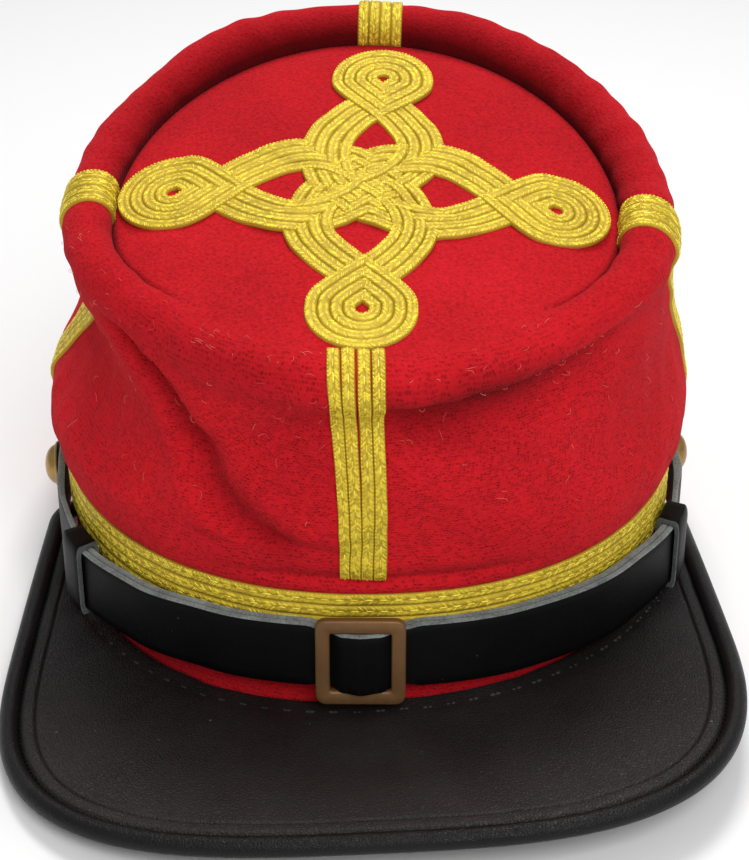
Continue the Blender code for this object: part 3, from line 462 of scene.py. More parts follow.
def peak_height(x, y):
    """Height of the peak's upper face, by the band's own plan coordinates."""
    forward = np.maximum(PEAK_END_Y - y, 0.0)
    share = np.minimum(forward / PEAK_REACH, 1.0)
    height = PEAK_BASE_HEIGHT + forward * math.tan(math.radians(PEAK_RISE))
    return height + math.sin(math.radians(PEAK_TWIST)) * x * share


def peak_outline(share):
    """Plan of the peak's outer edge, from its right rear end at 0 to its left one at 1."""
    share = np.asarray(share, float)
    side = np.where(share <= 0.5, 1.0, -1.0)
    along = 2.0 * np.minimum(share, 1.0 - share)
    right, left = (band_point(angle, CLEARANCE, 0.0) - BAND_CENTRE for angle in PEAK_SEAT_ANGLES)
    seat_x, seat_y = (np.where(side > 0.0, right[axis], left[axis]) for axis in (0, 1))
    end_x, end_y = turned(side * PEAK_END_HALF_WIDTH, PEAK_END_Y, PEAK_TURN)
    turn = np.radians(90.0 * np.clip(along / PEAK_END_SHARE, 0.0, 1.0))
    rear_x, rear_y = seat_x + (end_x - seat_x) * np.sin(turn), end_y + (seat_y - end_y) * np.cos(turn)
    down = np.clip((along - PEAK_END_SHARE) / (PEAK_SIDE_SHARE - PEAK_END_SHARE), 0.0, 1.0)
    flank_x = PEAK_END_HALF_WIDTH + (PEAK_HALF_WIDTH - PEAK_END_HALF_WIDTH) * (1.0 - (1.0 - down) ** 2)
    flank_y = PEAK_END_Y + (PEAK_WIDEST_Y - PEAK_END_Y) * down
    turn = np.radians(90.0 * np.clip((along - PEAK_SIDE_SHARE) / (1.0 - PEAK_SIDE_SHARE), 0.0, 1.0))
    power = 2.0 / PEAK_EXPONENT
    front_x = PEAK_HALF_WIDTH * np.maximum(np.cos(turn), 0.0) ** power
    front_y = PEAK_WIDEST_Y + (PEAK_FRONT_Y - PEAK_WIDEST_Y) * np.sin(turn) ** power
    at_flank = along < PEAK_SIDE_SHARE
    x, y = turned(side * np.where(at_flank, flank_x, front_x), np.where(at_flank, flank_y, front_y), PEAK_TURN)
    return np.where(along < PEAK_END_SHARE, rear_x, x), np.where(along < PEAK_END_SHARE, rear_y, y)


def peak_inset(share, inset):
    """Plan point at a distance inside the peak's outer edge."""
    step = 0.004
    x, y = peak_outline(share)
    ahead = peak_outline(np.minimum(share + step, 1.0))
    behind = peak_outline(np.maximum(share - step, 0.0))
    along = unit(np.stack((ahead[0] - behind[0], ahead[1] - behind[1]), -1))
    return x + along[..., 1] * inset, y - along[..., 0] * inset


def strap_section(degrees):
    """Stand-off, thickness, height of the middle line, width and bulge of the chin strap."""
    degrees = np.asarray(degrees, float)
    sideways = np.radians(degrees - BUCKLE_ANGLE) * BAND_HALF_WIDTH
    bulge, width = read_table(BUCKLE_BULGE, sideways)
    near = np.abs(sideways) <= BUCKLE_BULGE[-1][0]
    return *read_table(STRAP_STATIONS, degrees), np.where(near, width, STRAP_HEIGHT), np.where(near, bulge, 0.0)


def knot_warp(x, along):
    """Stretch and turn the drawn knot so that each arm has its own reach and direction."""
    turn, scale = read_table(KNOT_ARMS, np.degrees(np.arctan2(along, x)) % FULL_TURN)
    x, along = turned(x, along, turn)
    return x * scale, along * scale


def knot_path():
    """Middle line of the knot's ribbon: place, 1 out or -1 back, its inner row's height, reach of that height."""
    neck_along, neck_across = KNOT_GUIDE[-1][:2]
    start = 90.0 + math.degrees(math.atan2(neck_across, KNOT_LOBE_CENTRE - neck_along)) + KNOT_LOBE_OVERTURN
    lobe = []
    for step in range(KNOT_LOBE_STEPS + 1):
        turn = math.radians(start - step * 2.0 * start / KNOT_LOBE_STEPS)
        side = 1.0 if 2 * step <= KNOT_LOBE_STEPS else -1.0
        lobe.append((KNOT_LOBE_CENTRE + KNOT_LOBE_RADIUS * math.cos(turn), KNOT_LOBE_RADIUS * math.sin(turn),
                     side, 0.0, 0.0))
    guide = []
    for quarter, spreads in enumerate(KNOT_SPREADS):
        strands = []
        for side, spread, places in ((1.0, spreads[0], KNOT_GUIDE), (-1.0, spreads[1], KNOT_GUIDE[:0:-1])):
            full_draw, *raised = KNOT_CENTRE_STRANDS[quarter - 1 if side > 0.0 else quarter]
            strand = []
            for along, across, share, wide in places:
                draw = full_draw * share * math.sqrt(0.5)
                strand.append((along + draw, side * (draw - across - spread * wide), side, *raised))
            strands.append(strand)
        for along, across, *rest in strands[0] + lobe + strands[1]:
            guide.append((*turned(along, across, -90.0 * quarter), *rest))
    here = np.array(guide)
    before, after, beyond = (np.roll(here, shift, axis=0) for shift in (1, -1, -2))
    path = []
    for share in np.arange(KNOT_STEPS) / KNOT_STEPS:
        point = here * 2.0 + (after - before) * share
        point = point + (before * 2.0 - here * 5.0 + after * 4.0 - beyond) * share * share
        point = 0.5 * (point + (here * 3.0 - before - after * 3.0 + beyond) * share**3)
        point[:, 2:] = here[:, 2:]
        path.append(point)
    return np.stack(path, axis=1).reshape(-1, 5)


def knot_heights(x, along, outward, inner_height, inner_reach):
    """Height of a row of the knot: of two that cross, each lies over the other on its own lobe's side."""
    angle = np.degrees(np.arctan2(along, x))
    reach = np.hypot(x, along)
    ray = 45.0 * np.round(angle / 45.0)
    past = reach * np.sin(np.radians(angle - ray))
    at_neck = (reach > KNOT_NECK) & ((np.abs(np.abs(ray) - 180.0) < 1.0) | (np.abs(ray - 90.0) < 1.0))
    step = KNOT_STEP * outward * np.where(at_neck, -1.0, 1.0)
    over = smoothstep(0.5 + (past * outward - step) / 0.0016)
    between = smoothstep((22.5 - np.abs(angle - ray)) / 7.0)
    outside = smoothstep((KNOT_LOBE_CENTRE - reach + 0.002) / 0.006)
    height = KNOT_FLAT + (KNOT_OVER * over - KNOT_FLAT) * between * outside
    central = smoothstep((inner_reach - reach) / 0.003)
    return height + (KNOT_OVER * inner_height - height) * central


# ---- meshes
def show(name, data):
    """Put a mesh, a lamp or a camera into the scene."""
    item = bpy.data.objects.new(name, data)
    bpy.context.scene.collection.objects.link(item)
    return item


def store(mesh, name, values):
    """Keep a number or a vector for each point of a mesh."""
    kind, field = ("FLOAT_VECTOR", "vector") if values.ndim == 2 else ("FLOAT", "value")
    mesh.attributes.new(name, kind, "POINT").data.foreach_set(field, values.astype(np.float32).ravel())


class Mesher:
    """Gathers closed shells of points into one mesh."""

    def __init__(self):
        self.points, self.faces, self.uvs, self.slots = [], [], [], []
        self.values = {}
        self.count = 0

    def add(self, points, ends, uv=None, poles=(), slot=0, **values):
        """Add a grid of points (rows, columns) whose columns close on themselves, and give the mesher back.

        ends is wrap where the rows close too, cap for flat ends, or pole for two end points.
        """
        rows, columns = points.shape[:2]
        spans = rows if ends == "wrap" else rows - 1
        row, column = np.meshgrid(np.arange(spans), np.arange(columns), indexing="ij")
        corner_rows = np.stack([row, row, row + 1, row + 1], -1).reshape(-1, 4)
        corner_columns = np.stack([column, column + 1, column + 1, column], -1).reshape(-1, 4)
        self.faces += (corner_rows % rows * columns + corner_columns % columns + self.count).tolist()
        if uv is None:
            uv = np.zeros((rows + 1, columns + 1, 2))
        self.uvs.append(uv[corner_rows, corner_columns].reshape(-1, 2))
        self.slots += np.broadcast_to(slot, (spans, columns)).ravel().tolist()
        self.points += [points.reshape(-1, 3), np.reshape(poles, (-1, 3))]
        first = (np.arange(columns) + self.count).tolist()
        last = [index + (rows - 1) * columns for index in first]
        closing = [first[::-1], last] if ends == "cap" else []
        if ends == "pole":
            low = self.count + rows * columns
            for here in range(columns):
                ahead = (here + 1) % columns
                closing += [[low, first[ahead], first[here]], [last[here], last[ahead], low + 1]]
        self.faces += closing
        self.slots += [int(np.max(slot))] * len(closing)
        self.uvs.append(np.zeros((sum(map(len, closing)), 2)))
        for key, value in values.items():
            flat = np.broadcast_to(value, (rows, columns)).ravel()
            self.values.setdefault(key, []).append(np.concatenate([flat, flat[[0, -1]][:len(poles)]]))
        self.count += rows * columns + len(poles)
        return self

    def build(self, name, materials, sharp=60.0):
        """Make the named object."""
        mesh = bpy.data.meshes.new(name)
        mesh.from_pydata(np.concatenate(self.points).tolist(), [], self.faces)
        layer = mesh.uv_layers.new(name="weave")
        layer.uv.foreach_set("vector", np.concatenate(self.uvs).astype(np.float32).ravel())
        mesh.polygons.foreach_set("material_index", np.array(self.slots, np.int32))
        for key, value in self.values.items():
            store(mesh, key, np.concatenate(value))
        for material in materials:
            mesh.materials.append(material)
        mesh.shade_smooth()
        mesh.set_sharp_from_angle(angle=math.radians(sharp))
        return show(name, mesh)


def dress(piece, slot, *nodes):
    """Place a finished piece on the cap in the frame's terms."""
    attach(piece, "root")
    if nodes:
        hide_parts(*nodes)


# ---- node trees
def find(sockets, name):
    """A socket by its place or its name, of those that the node's settings leave in use."""
    if isinstance(name, int):
        return sockets[name]
    return next(socket for socket in sockets if socket.enabled and name in (socket.name, socket.identifier))


class Nodes:
    """Adds nodes to a tree; values and other nodes' outputs serve alike as inputs."""

    def __init__(self, tree):
        self.tree = tree

    def feed(self, socket, value):
        """Link an output to an input, or give the input its own value."""
        if isinstance(value, bpy.types.NodeSocket):
            self.tree.links.new(value, socket)
        else:
            socket.default_value = (*value, 1.0) if socket.type == "RGBA" else value

    def add(self, kind, inputs=None, output=0, **settings):
        """Add a node with its settings and inputs, and give one of its outputs."""
        node = self.tree.nodes.new(kind)
        for key, value in settings.items():
            setattr(node, key, value)
        for key, value in (inputs or {}).items():
            self.feed(find(node.inputs, key), value)
        return find(node.outputs, output) if node.outputs else None

    def maths(self, operation, first, second=0.0, clamp=False):
        """Result of one sum."""
        return self.add("ShaderNodeMath", {0: first, 1: second}, operation=operation, use_clamp=clamp)

    def times(self, first, second, clamp=False):
        """Product."""
        return self.maths("MULTIPLY", first, second, clamp)

    def blend(self, first, first_weight, second, second_weight):
        """Weighted sum of two values."""
        return self.maths("ADD", self.times(first, first_weight), self.times(second, second_weight))

    def vector(self, operation, first, second):
        """Result of one sum with vectors."""
        key = "Scale" if operation == "SCALE" else 1
        return self.add("ShaderNodeVectorMath", {0: first, key: second}, operation=operation)


class Finish(Nodes):
    """A Principled material whose patterns lie in the object's own coordinates."""

    def __init__(self, name, roughness, **values):
        self.material = bpy.data.materials.new(name)
        self.material.use_nodes = True
        super().__init__(self.material.node_tree)
        self.shader = self.tree.nodes["Principled BSDF"].inputs
        for key, value in {"Roughness": roughness, **values}.items():
            self.feed(self.shader[key.replace("_", " ")], value)
        self.place = self.add("ShaderNodeTexCoord", output="Object")

    def noise(self, scale, detail=2.0, roughness=0.5, place=None, output="Fac"):
        """Noise texture."""
        place = self.place if place is None else place
        return self.add("ShaderNodeTexNoise", {
            "Vector": place, "Scale": scale, "Detail": detail, "Roughness": roughness}, output)

    def ramp(self, value, low, high):
        """A value stretched so that low becomes 0 and high becomes 1."""
        return self.add("ShaderNodeMapRange", {"Value": value, "From Min": low, "From Max": high}, clamp=True)

    def mix(self, share, first, second):
        """Two colours mixed by a share."""
        return self.add("ShaderNodeMix", {"Factor": share, 6: first, 7: second}, output=2, data_type="RGBA")

    def own(self, name):
        """A value that the mesh keeps for each point."""
        return self.add("ShaderNodeAttribute", output="Fac", attribute_name=name)

    def done(self, colour, height=None, relief=0.0, roughness=None):
        """The material with its colour, its bump in metres of relief and its uneven roughness."""
        self.feed(self.shader["Base Color"], colour)
        if height is not None:
            bump = self.add("ShaderNodeBump", {"Height": height, "Distance": relief, "Strength": 1.0})
            self.feed(self.shader["Normal"], bump)
        if roughness is not None:
            self.feed(self.shader["Roughness"], roughness)
        return self.material


def make_wool():
    """Red wool: a plain weave under a nap that hides it where the cloth is felted, with painted shade in its pits and
    its creases.
    """
    new = Finish("red_wool_cloth", 0.95, Sheen_Weight=0.22, Sheen_Roughness=0.5, Sheen_Tint=(1.0, 0.1, 0.12),
                 Specular_IOR_Level=0.06)
    warp = new.vector("MULTIPLY", new.noise(300.0, 3.0, output="Color"), (2.2, 2.4, 0.0))
    thread = new.vector("ADD", new.add("ShaderNodeUVMap", uv_map="weave"), warp)
    across, climb = (new.add("ShaderNodeSeparateXYZ", {0: thread}, axis) for axis in (0, 1))
    # staggered pits between the threads, each of its own depth
    row = new.maths("ROUND", climb)
    along = new.maths("ADD", across, new.times(row, 0.5))
    column = new.maths("ROUND", along)
    cell = new.add("ShaderNodeCombineXYZ", {0: column, 1: row})
    chance = new.add("ShaderNodeTexWhiteNoise", {"Vector": cell}, "Value", noise_dimensions="2D")
    width = new.maths("POWER", new.times(new.maths("SUBTRACT", along, column), 1.9), 2.0)
    tall = new.maths("POWER", new.times(new.maths("SUBTRACT", climb, row), 2.3), 2.0)
    gap = new.maths("SUBTRACT", 1.0, new.maths("ADD", width, tall), clamp=True)
    patchy = new.times(new.ramp(new.noise(300.0, 3.0, 0.65), 0.0, 0.55), new.ramp(chance, 0.0, 0.95))
    woven = new.maths("SUBTRACT", 1.0, new.times(new.times(gap, patchy), PIT_STRENGTH, clamp=True))
    # tufts of the nap
    cells = new.add("ShaderNodeTexVoronoi", {"Vector": new.place, "Scale": FELT_SCALE}, "Distance")
    tuft = new.ramp(new.noise(950.0, 2.0, 0.6), 0.25, 0.65)
    felt = new.maths("ADD", new.blend(new.ramp(cells, 0.0, 0.6), 0.35, tuft, 0.4), 0.22)
    fibre = new.ramp(new.noise(1500.0, 2.0, 0.65), 0.3, 0.7)
    bare = new.maths("SUBTRACT", 1.0, new.own("nap"))
    height = new.blend(new.add("ShaderNodeMix", {0: bare, 2: felt, 3: woven}), 0.78, fibre, 0.22)
    drift = new.ramp(new.noise(30.0, 3.0, 0.55), 0.3, 0.7)
    # the colour darkens with the relief: painted shade in the pits of the weave and of the felt, with random tone
    # from the fibres and the drift
    colour = new.mix(new.blend(height, 0.8, drift, 0.2), (0.08, 0.001, 0.002), (0.66, 0.013, 0.021))
    # the sunk attribute mixes in nearly black painted shade
    return new.done(new.mix(new.own("sunk"), colour, (0.05, 0.001, 0.002)), height, 0.00055)


def make_fibre():
    """Loose wool fibre."""
    new = Finish("loose_fibre", 0.8, Specular_IOR_Level=0.2)
    return new.done(new.mix(new.ramp(new.noise(60.0, 1.0), 0.35, 0.65), (0.62, 0.04, 0.04), (0.8, 0.22, 0.15)))


def make_gold(name, bright, dark, roughness, has_stitches):
    """Gilt thread, where each stitch has its own tone, or the darker ground under it."""
    new = Finish(name, roughness, Metallic=0.4, Specular_IOR_Level=0.5)
    fine = new.noise(2600.0, 2.0, 0.6)
    tone = new.blend(fine, 0.7, new.noise(90.0), 0.5)
    if has_stitches:
        tone = new.blend(tone, 0.45, new.own("thread_tone"), 0.7)
    return new.done(new.mix(new.ramp(tone, 0.28, 0.82), dark, bright), fine, 0.00016)


def make_leather(name, colour, worn_and_sheen, roughness, gloss_level, grain_scale, grain_depth, dust, painted_sheen_from=0.0):
    """Black leather: fine grain, uneven gloss, specks of dust, and a lighter brown-grey colour in broad patches,
    which is bloom and wear, and on the peak also a painted sheen, lighter towards the front and darker near the band.
    """
    new = Finish(name, roughness, Specular_IOR_Level=gloss_level)
    cells = new.add("ShaderNodeTexVoronoi", {"Vector": new.place, "Scale": grain_scale}, "Distance",
                    feature="DISTANCE_TO_EDGE")
    grain = new.blend(new.ramp(cells, 0.0, 0.25), 0.5, new.noise(grain_scale * 1.7, 3.0, 0.6), 0.5)
    broad = new.noise(34.0, 4.0, 0.6)
    wear_and_sheen = new.ramp(broad, 0.35, 0.75)
    # on the peak, a painted sheen: lighter towards the front, darker near the band
    if painted_sheen_from:
        ahead = new.times(new.add("ShaderNodeSeparateXYZ", {0: new.place}, 1), -1.0)
        wear_and_sheen = new.blend(wear_and_sheen, 0.45, new.ramp(ahead, painted_sheen_from, painted_sheen_from + 0.048), 0.55)
    speck = new.times(new.ramp(new.noise(610.0, 1.0, 0.4), 0.8, 0.86), dust)
    base = new.mix(speck, new.mix(wear_and_sheen, colour, worn_and_sheen), (0.2, 0.19, 0.18))
    gloss = new.maths("ADD", new.times(new.maths("SUBTRACT", broad, 0.5), 0.35), roughness)
    return new.done(base, grain, grain_depth, gloss)


def make_raw_edge(name, dark, bright):
    """Cut leather edge: pale grey fibres."""
    new = Finish(name, 0.95, Sheen_Weight=0.3)
    fibre = new.noise(1500.0, 4.0, 0.7)
    tone = new.blend(fibre, 0.6, new.noise(150.0), 0.4)
    return new.done(new.mix(new.ramp(tone, 0.3, 0.7), dark, bright), fibre, 0.0004)


def make_brass(name, bright, dark, roughness, metal):
    """Old brass: brown patina, thinner and yellower in places, with fine scratches."""
    new = Finish(name, roughness, Metallic=metal)
    fine = new.noise(900.0, 3.0, 0.6)
    stretched = new.add("ShaderNodeMapping", {"Vector": new.place, "Scale": (5200.0, 900.0, 420.0)})
    brushed = new.noise(1.0, 2.0, 0.5, stretched)
    tone = new.blend(new.noise(120.0, 4.0, 0.6), 0.7, fine, 0.3)
    gloss = new.maths("ADD", new.times(new.maths("SUBTRACT", fine, 0.5), 0.25), roughness)
    height = new.blend(brushed, 0.5, fine, 0.5)
    return new.done(new.mix(new.ramp(tone, 0.3, 0.7), dark, bright), height, 0.00006, gloss)


def make_thread_tree():
    """Geometry nodes that lay short threads along lines, slanted about the line's own up direction."""
    tree = bpy.data.node_groups.new("laid_threads", "GeometryNodeTree")
    sockets = [("Geometry", "INPUT", "Geometry"), ("Seed", "INPUT", "Int"), ("Material", "INPUT", "Material"),
               ("Geometry", "OUTPUT", "Geometry")]
    sockets += [(label, "INPUT", "Float") for label in THREAD_SIZES]
    for label, way, kind in sockets:
        tree.interface.new_socket(label, in_out=way, socket_type="NodeSocket" + kind)
    new = Nodes(tree)
    given = tree.nodes.new("NodeGroupInput").outputs
    curve = new.add("GeometryNodeMeshToCurve", {"Mesh": given["Geometry"]})
    places = new.add("GeometryNodeResampleCurve", {"Curve": curve, "Length": given["Pitch"]}, mode="LENGTH")
    along = new.add("GeometryNodeInputTangent")
    up, slant = (new.add("GeometryNodeInputNamedAttribute", {"Name": label}, "Attribute", data_type=kind)
                 for label, kind in (("up", "FLOAT_VECTOR"), ("slant", "FLOAT")))
    side = new.vector("CROSS_PRODUCT", up, along)
    lay = new.vector("ADD", along, new.vector("SCALE", side, slant))
    axes = new.add("FunctionNodeAxesToRotation", {0: up, 1: lay}, primary_axis="Z", secondary_axis="X")
    least, most = (new.maths(operation, 1.0, given["Unevenness"]) for operation in ("SUBTRACT", "ADD"))
    size = new.add("FunctionNodeRandomValue", {"Min": least, "Max": most, "Seed": given["Seed"]}, "Value",
                   data_type="FLOAT")
    sizes = new.add("ShaderNodeCombineXYZ", {0: given["Length"], 1: given["Width"], 2: given["Height"]})
    ball = new.add("GeometryNodeMeshUVSphere", {"Segments": 5, "Rings": 3, "Radius": 0.5})
    bead = new.add("GeometryNodeTransform", {"Geometry": ball, "Rotation": (0.0, 0.5 * math.pi, 0.0)})
    laid = new.add("GeometryNodeInstanceOnPoints", {
        "Points": places, "Instance": bead, "Rotation": axes, "Scale": new.vector("SCALE", sizes, size)})
    tone = new.add("FunctionNodeRandomValue", {"Seed": new.maths("ADD", given["Seed"], 7.0)}, "Value",
                   data_type="FLOAT")
    toned = new.add("GeometryNodeStoreNamedAttribute", {"Geometry": laid, "Name": "thread_tone", "Value": tone},
                    domain="INSTANCE", data_type="FLOAT")
    real = new.add("GeometryNodeRealizeInstances", {"Geometry": toned})
    soft = new.add("GeometryNodeSetShadeSmooth", {"Geometry": real})
    coloured = new.add("GeometryNodeSetMaterial", {"Geometry": soft, "Material": given["Material"]})
    new.add("NodeGroupOutput", {"Geometry": coloured})
    return tree


def lay_threads(name, lines, material, *sizes):
    """Threads along lines, each (points, up directions, slant, closed); sizes run from pitch to seed."""
    points, ups, slants, edges = [], [], [], []
    start = 0
    for line, up, slant, closed in lines:
        points.append(line)
        ups.append(np.broadcast_to(up, line.shape))
        slants.append(np.full(len(line), slant))
        order = list(range(start, start + len(line)))
        edges += zip(order, order[1:] + order[:1] if closed else order[1:])
        start += len(line)
    mesh = bpy.data.meshes.new(name + "_lines")
    mesh.from_pydata(np.concatenate(points).tolist(), edges, [])
    store(mesh, "up", np.concatenate(ups))
    store(mesh, "slant", np.concatenate(slants))
    holder = show(name + "_lines", mesh)
    modifier = holder.modifiers.new("threads", "NODES")
    modifier.node_group = THREAD_TREE
    given = dict(zip(("Material", *THREAD_SIZES, "Seed"), (material, *sizes)))
    for socket in THREAD_TREE.interface.items_tree:
        if socket.in_out == "INPUT" and socket.name in given:
            modifier[socket.identifier] = given[socket.name]
    result = bpy.data.meshes.new_from_object(holder.evaluated_get(bpy.context.evaluated_depsgraph_get()))
    result.name = name
    bpy.data.objects.remove(holder, do_unlink=True)
    return show(name, result)


# ---- cloth
CROWN_COLUMNS = 440
BAND_COLUMNS = 300
BAND_BRAID_COLUMNS = 360
CROWN_STATIONS = np.concatenate([
    np.linspace(0.0, HEM_END, 22, endpoint=False),
    np.linspace(HEM_END, WALL_END, 54, endpoint=False),
    np.linspace(WALL_END, RIM_TOP, 20, endpoint=False),
    np.linspace(RIM_TOP, CREASE, 20),
])
INNER_STATIONS = np.array((0.0, 0.5, 1.2, 1.9, 2.6, 3.3, 3.8, 4.4, 5.0, 5.6, 6.2, 6.8, 7.4, 8.0, 8.6, 9.2, 9.8,
                           10.4, 11.0, 11.6, 12.2, 12.8, 13.4, 14.0, 14.6, 15.3, 16.0))
DISC_SHARES = np.concatenate([np.linspace(0.985, 0.86, 12), np.linspace(0.84, 0.05, 28)])
INNER_DISC_SHARES = np.array((0.05, 0.2, 0.4, 0.6, 0.8, 0.9, 0.97))


def ring_degrees(count):
    """Even angles round the cap."""
    return np.arange(count) * FULL_TURN / count


def fold_cloth(grid, stations):
    """Push the folds and the fine unevenness into a grid of the crown's cloth, whose rows climb."""
    degrees = ring_degrees(grid.shape[1])[None]
    station = stations[:, None]
    height = wall_height(station)
    up = grid[..., 2]
    depth = fold_depth(degrees, height) * (smoothstep(height / 0.12) * smoothstep((13.0 - station) / 5.0))
    depth = depth + RIPPLE_HEIGHT * ripple(degrees, up, 11) * smoothstep((station - 1.0) / 3.0)
    depth = depth + HEM_RIPPLE_HEIGHT * ripple(degrees, up, 5, 10, 0.03) * bell((station - 2.2) / 0.8)
    return grid - sheet_normals(grid) * depth[..., None]


def make_crown_surface():
    """Outer face of the crown's cloth, softened at its seams, with its folds: points and normals."""
    grid = crown_cloth(ring_degrees(CROWN_COLUMNS)[None], CROWN_STATIONS[:, None], 0.0)
    weight = 0.4 + bell((CROWN_STATIONS - 2.4) / 0.9) + bell((CROWN_STATIONS - WALL_END) / 0.8)
    weight = np.clip(weight, 0.0, 1.0)[1:-1, None, None]
    for _ in range(8):
        middle = 0.5 * grid[1:-1] + 0.25 * (grid[:-2] + grid[2:])
        grid[1:-1] += (middle - grid[1:-1]) * weight
    grid = fold_cloth(grid, CROWN_STATIONS)
    return grid, sheet_normals(grid)


CROWN_GRID, CROWN_NORMALS = make_crown_surface()


def crown_sample(degrees, station):
    """Points and normals of the crown's cloth at angles and stations."""
    column = (degrees % FULL_TURN) / FULL_TURN * CROWN_COLUMNS
    row = np.interp(station, CROWN_STATIONS, np.arange(len(CROWN_STATIONS)))
    column, row = np.broadcast_arrays(column, row)
    low_row = np.clip(np.floor(row).astype(int), 0, len(CROWN_STATIONS) - 2)
    low_column = np.floor(column).astype(int)
    row_share = (row - low_row)[..., None]
    column_share = (column - low_column)[..., None]
    left, right = low_column % CROWN_COLUMNS, (low_column + 1) % CROWN_COLUMNS
    found = []
    for grid in (CROWN_GRID, CROWN_NORMALS):
        lower, upper = (grid[at, left] * (1.0 - column_share) + grid[at, right] * column_share
                        for at in (low_row, low_row + 1))
        found.append(lower * (1.0 - row_share) + upper * row_share)
    return found[0], unit(found[1])


def disc_cloth(share, depth):
    """Rows of the disc's cloth from its edge inwards."""
    degrees = ring_degrees(CROWN_COLUMNS)[None]
    share = share[:, None]
    strength = roll_strength(degrees)
    outward = -SEAM_SETBACK * (1.0 - strength)
    angle = np.radians(degrees)
    x = (DISC_HALF_WIDTH + outward) * np.cos(angle) * share
    along = (DISC_HALF_LENGTH + outward) * np.sin(angle) * share
    sunk = -DISC_SINK * strength * smoothstep((share - 0.8) / 0.2)
    uneven = ripple(np.degrees(x * 9.0), along, 23, 12, 0.022) * smoothstep((1.0 - share) / 0.1)
    return disc_point(x, along, sunk - depth + DISC_RIPPLE_HEIGHT * uneven * (depth == 0.0))


def weave_uv(count, climbed):
    """Numbers of the weave's threads for a grid: round the cap, and up the cloth by each row's metres."""
    uv = np.zeros((len(climbed) + 1, count + 1, 2))
    uv[..., 0] = np.arange(count + 1) * WALL_THREADS / count
    uv[:-1, :, 1] = (climbed / WEAVE_PITCH)[:, None]
    return uv


def crown_shades(degrees, stations, inner_count):
    """How far the nap hides the weave, and how much painted shade darkens the cloth in its creases, folds and
    hollows, for each point of the crown.
    """
    disc_count = len(DISC_SHARES)
    front = 1.0 - roll_strength(degrees)
    # the nap lies thick on the roll and the disc, thinner on the walls at the sides and the back
    nap = smoothstep((stations - 5.0 - 4.5 * front) / (3.0 + 3.5 * front)) * 0.92
    nap = np.maximum(nap, 0.35 * (1.0 - front) * smoothstep((stations - 3.0) / 2.0))
    # painted shade: dark in the folds' valleys, in the crease round the disc and on the roll's inner slope, most at
    # the back
    valley = np.clip(fold_depth(degrees, wall_height(stations)) / 0.004, 0.0, 1.0) * (stations < RIM_TOP)
    crease = bell((stations - CREASE) / 0.9) * (stations > RIM_TOP)
    crease[-disc_count:, 0] = bell((1.0 - DISC_SHARES) / 0.022)
    on_disc = np.arange(len(stations))[:, None] >= len(stations) - disc_count
    inner_slope = smoothstep((stations - 11.0) / 4.5) * ~on_disc
    behind = bell(angle_apart(degrees, 92.0) / 75.0)
    shadow = np.zeros_like(valley)
    # painted shade in the patches of the table above
    for angle, station, wide, tall, amount in PAINTED_SHADES:
        apart = (angle_apart(degrees, angle) / wide) ** 2 + ((stations - station) / tall) ** 2
        shadow = shadow + amount * np.exp(-apart) * (stations < RIM_TOP + 1.0)
    shadow[:inner_count] = 0.0
    sunk = shadow + 0.38 * valley + (0.8 * crease + (0.28 + 0.72 * behind) * inner_slope) * (1.0 - front)
    # painted shade over the back of the roll and of the disc
    sunk = sunk + 0.12 * behind * smoothstep((stations - 8.0) / 2.0) * (crease < 0.9)
    return nap, np.clip(sunk, 0.0, 0.92)


def make_crown():
    """The crown's cloth: hem, soft wall, roll and disc in one closed skin."""
    degrees = ring_degrees(CROWN_COLUMNS)[None]
    inner_wall = fold_cloth(crown_cloth(degrees, INNER_STATIONS[:, None], CLOTH_WALL), INNER_STATIONS)[::-1]
    points = np.concatenate([
        disc_cloth(INNER_DISC_SHARES, CLOTH_WALL), inner_wall, CROWN_GRID, disc_cloth(DISC_SHARES, 0.0)])
    inner_count = len(INNER_DISC_SHARES) + len(INNER_STATIONS)
    stations = np.concatenate([np.full(inner_count, 5.0), CROWN_STATIONS, np.full(len(DISC_SHARES), CREASE)])
    # sunk is the painted shade that darkens the cloth's colour
    nap, sunk = crown_shades(degrees, stations[:, None], inner_count)
    climbed = np.cumsum(np.linalg.norm(np.diff(points, axis=0), axis=-1).mean(axis=1))
    uv = weave_uv(CROWN_COLUMNS, np.append(0.0, climbed))
    poles = [disc_point(0.0, 0.0, -CLOTH_WALL), disc_point(0.0, 0.0, 0.0)]
    skin = Mesher().add(points, "pole", uv=uv, poles=poles, nap=nap, sunk=sunk)
    dress(skin.build("crown_cloth", [WOOL]), "red_wool", "crown_side", "crown_top")


def make_band():
    """Head band of the same cloth, with softly rounded edges."""
    profile = [(0.0, high) for high in np.linspace(0.0006, BAND_HEIGHT - 0.0006, 22)]
    profile += [(-0.0003, BAND_HEIGHT - 0.0001), (-0.001, BAND_HEIGHT), (-0.0017, BAND_HEIGHT - 0.0001)]
    profile += [(-CLOTH_WALL, high) for high in np.linspace(BAND_HEIGHT - 0.0007, 0.0007, 8)]
    profile += [(-0.0017, 0.0001), (-0.001, 0.0), (-0.0003, 0.0001)]
    degrees = ring_degrees(BAND_COLUMNS)[None]
    stand_off, height = np.array(profile).T[..., None]
    uneven = BAND_RIPPLE_HEIGHT * ripple(degrees, height, 31) * (stand_off == 0.0)
    points = band_point(degrees, stand_off + uneven, height)
    skin = Mesher().add(points, "wrap", uv=weave_uv(BAND_COLUMNS, height[:, 0]), nap=0.2)
    dress(skin.build("band_cloth", [WOOL]), "red_wool", "band")


# ---- gold braid
CORD_SHARES = np.array((0.0, 0.13, 0.5, 0.87))


def cord_relief(share):
    """Height of a rounded cord across its width, from 0 at its sides to 1 at its middle."""
    return np.sqrt(np.maximum(1.0 - (2.0 * share - 1.0) ** 4, 0.0))


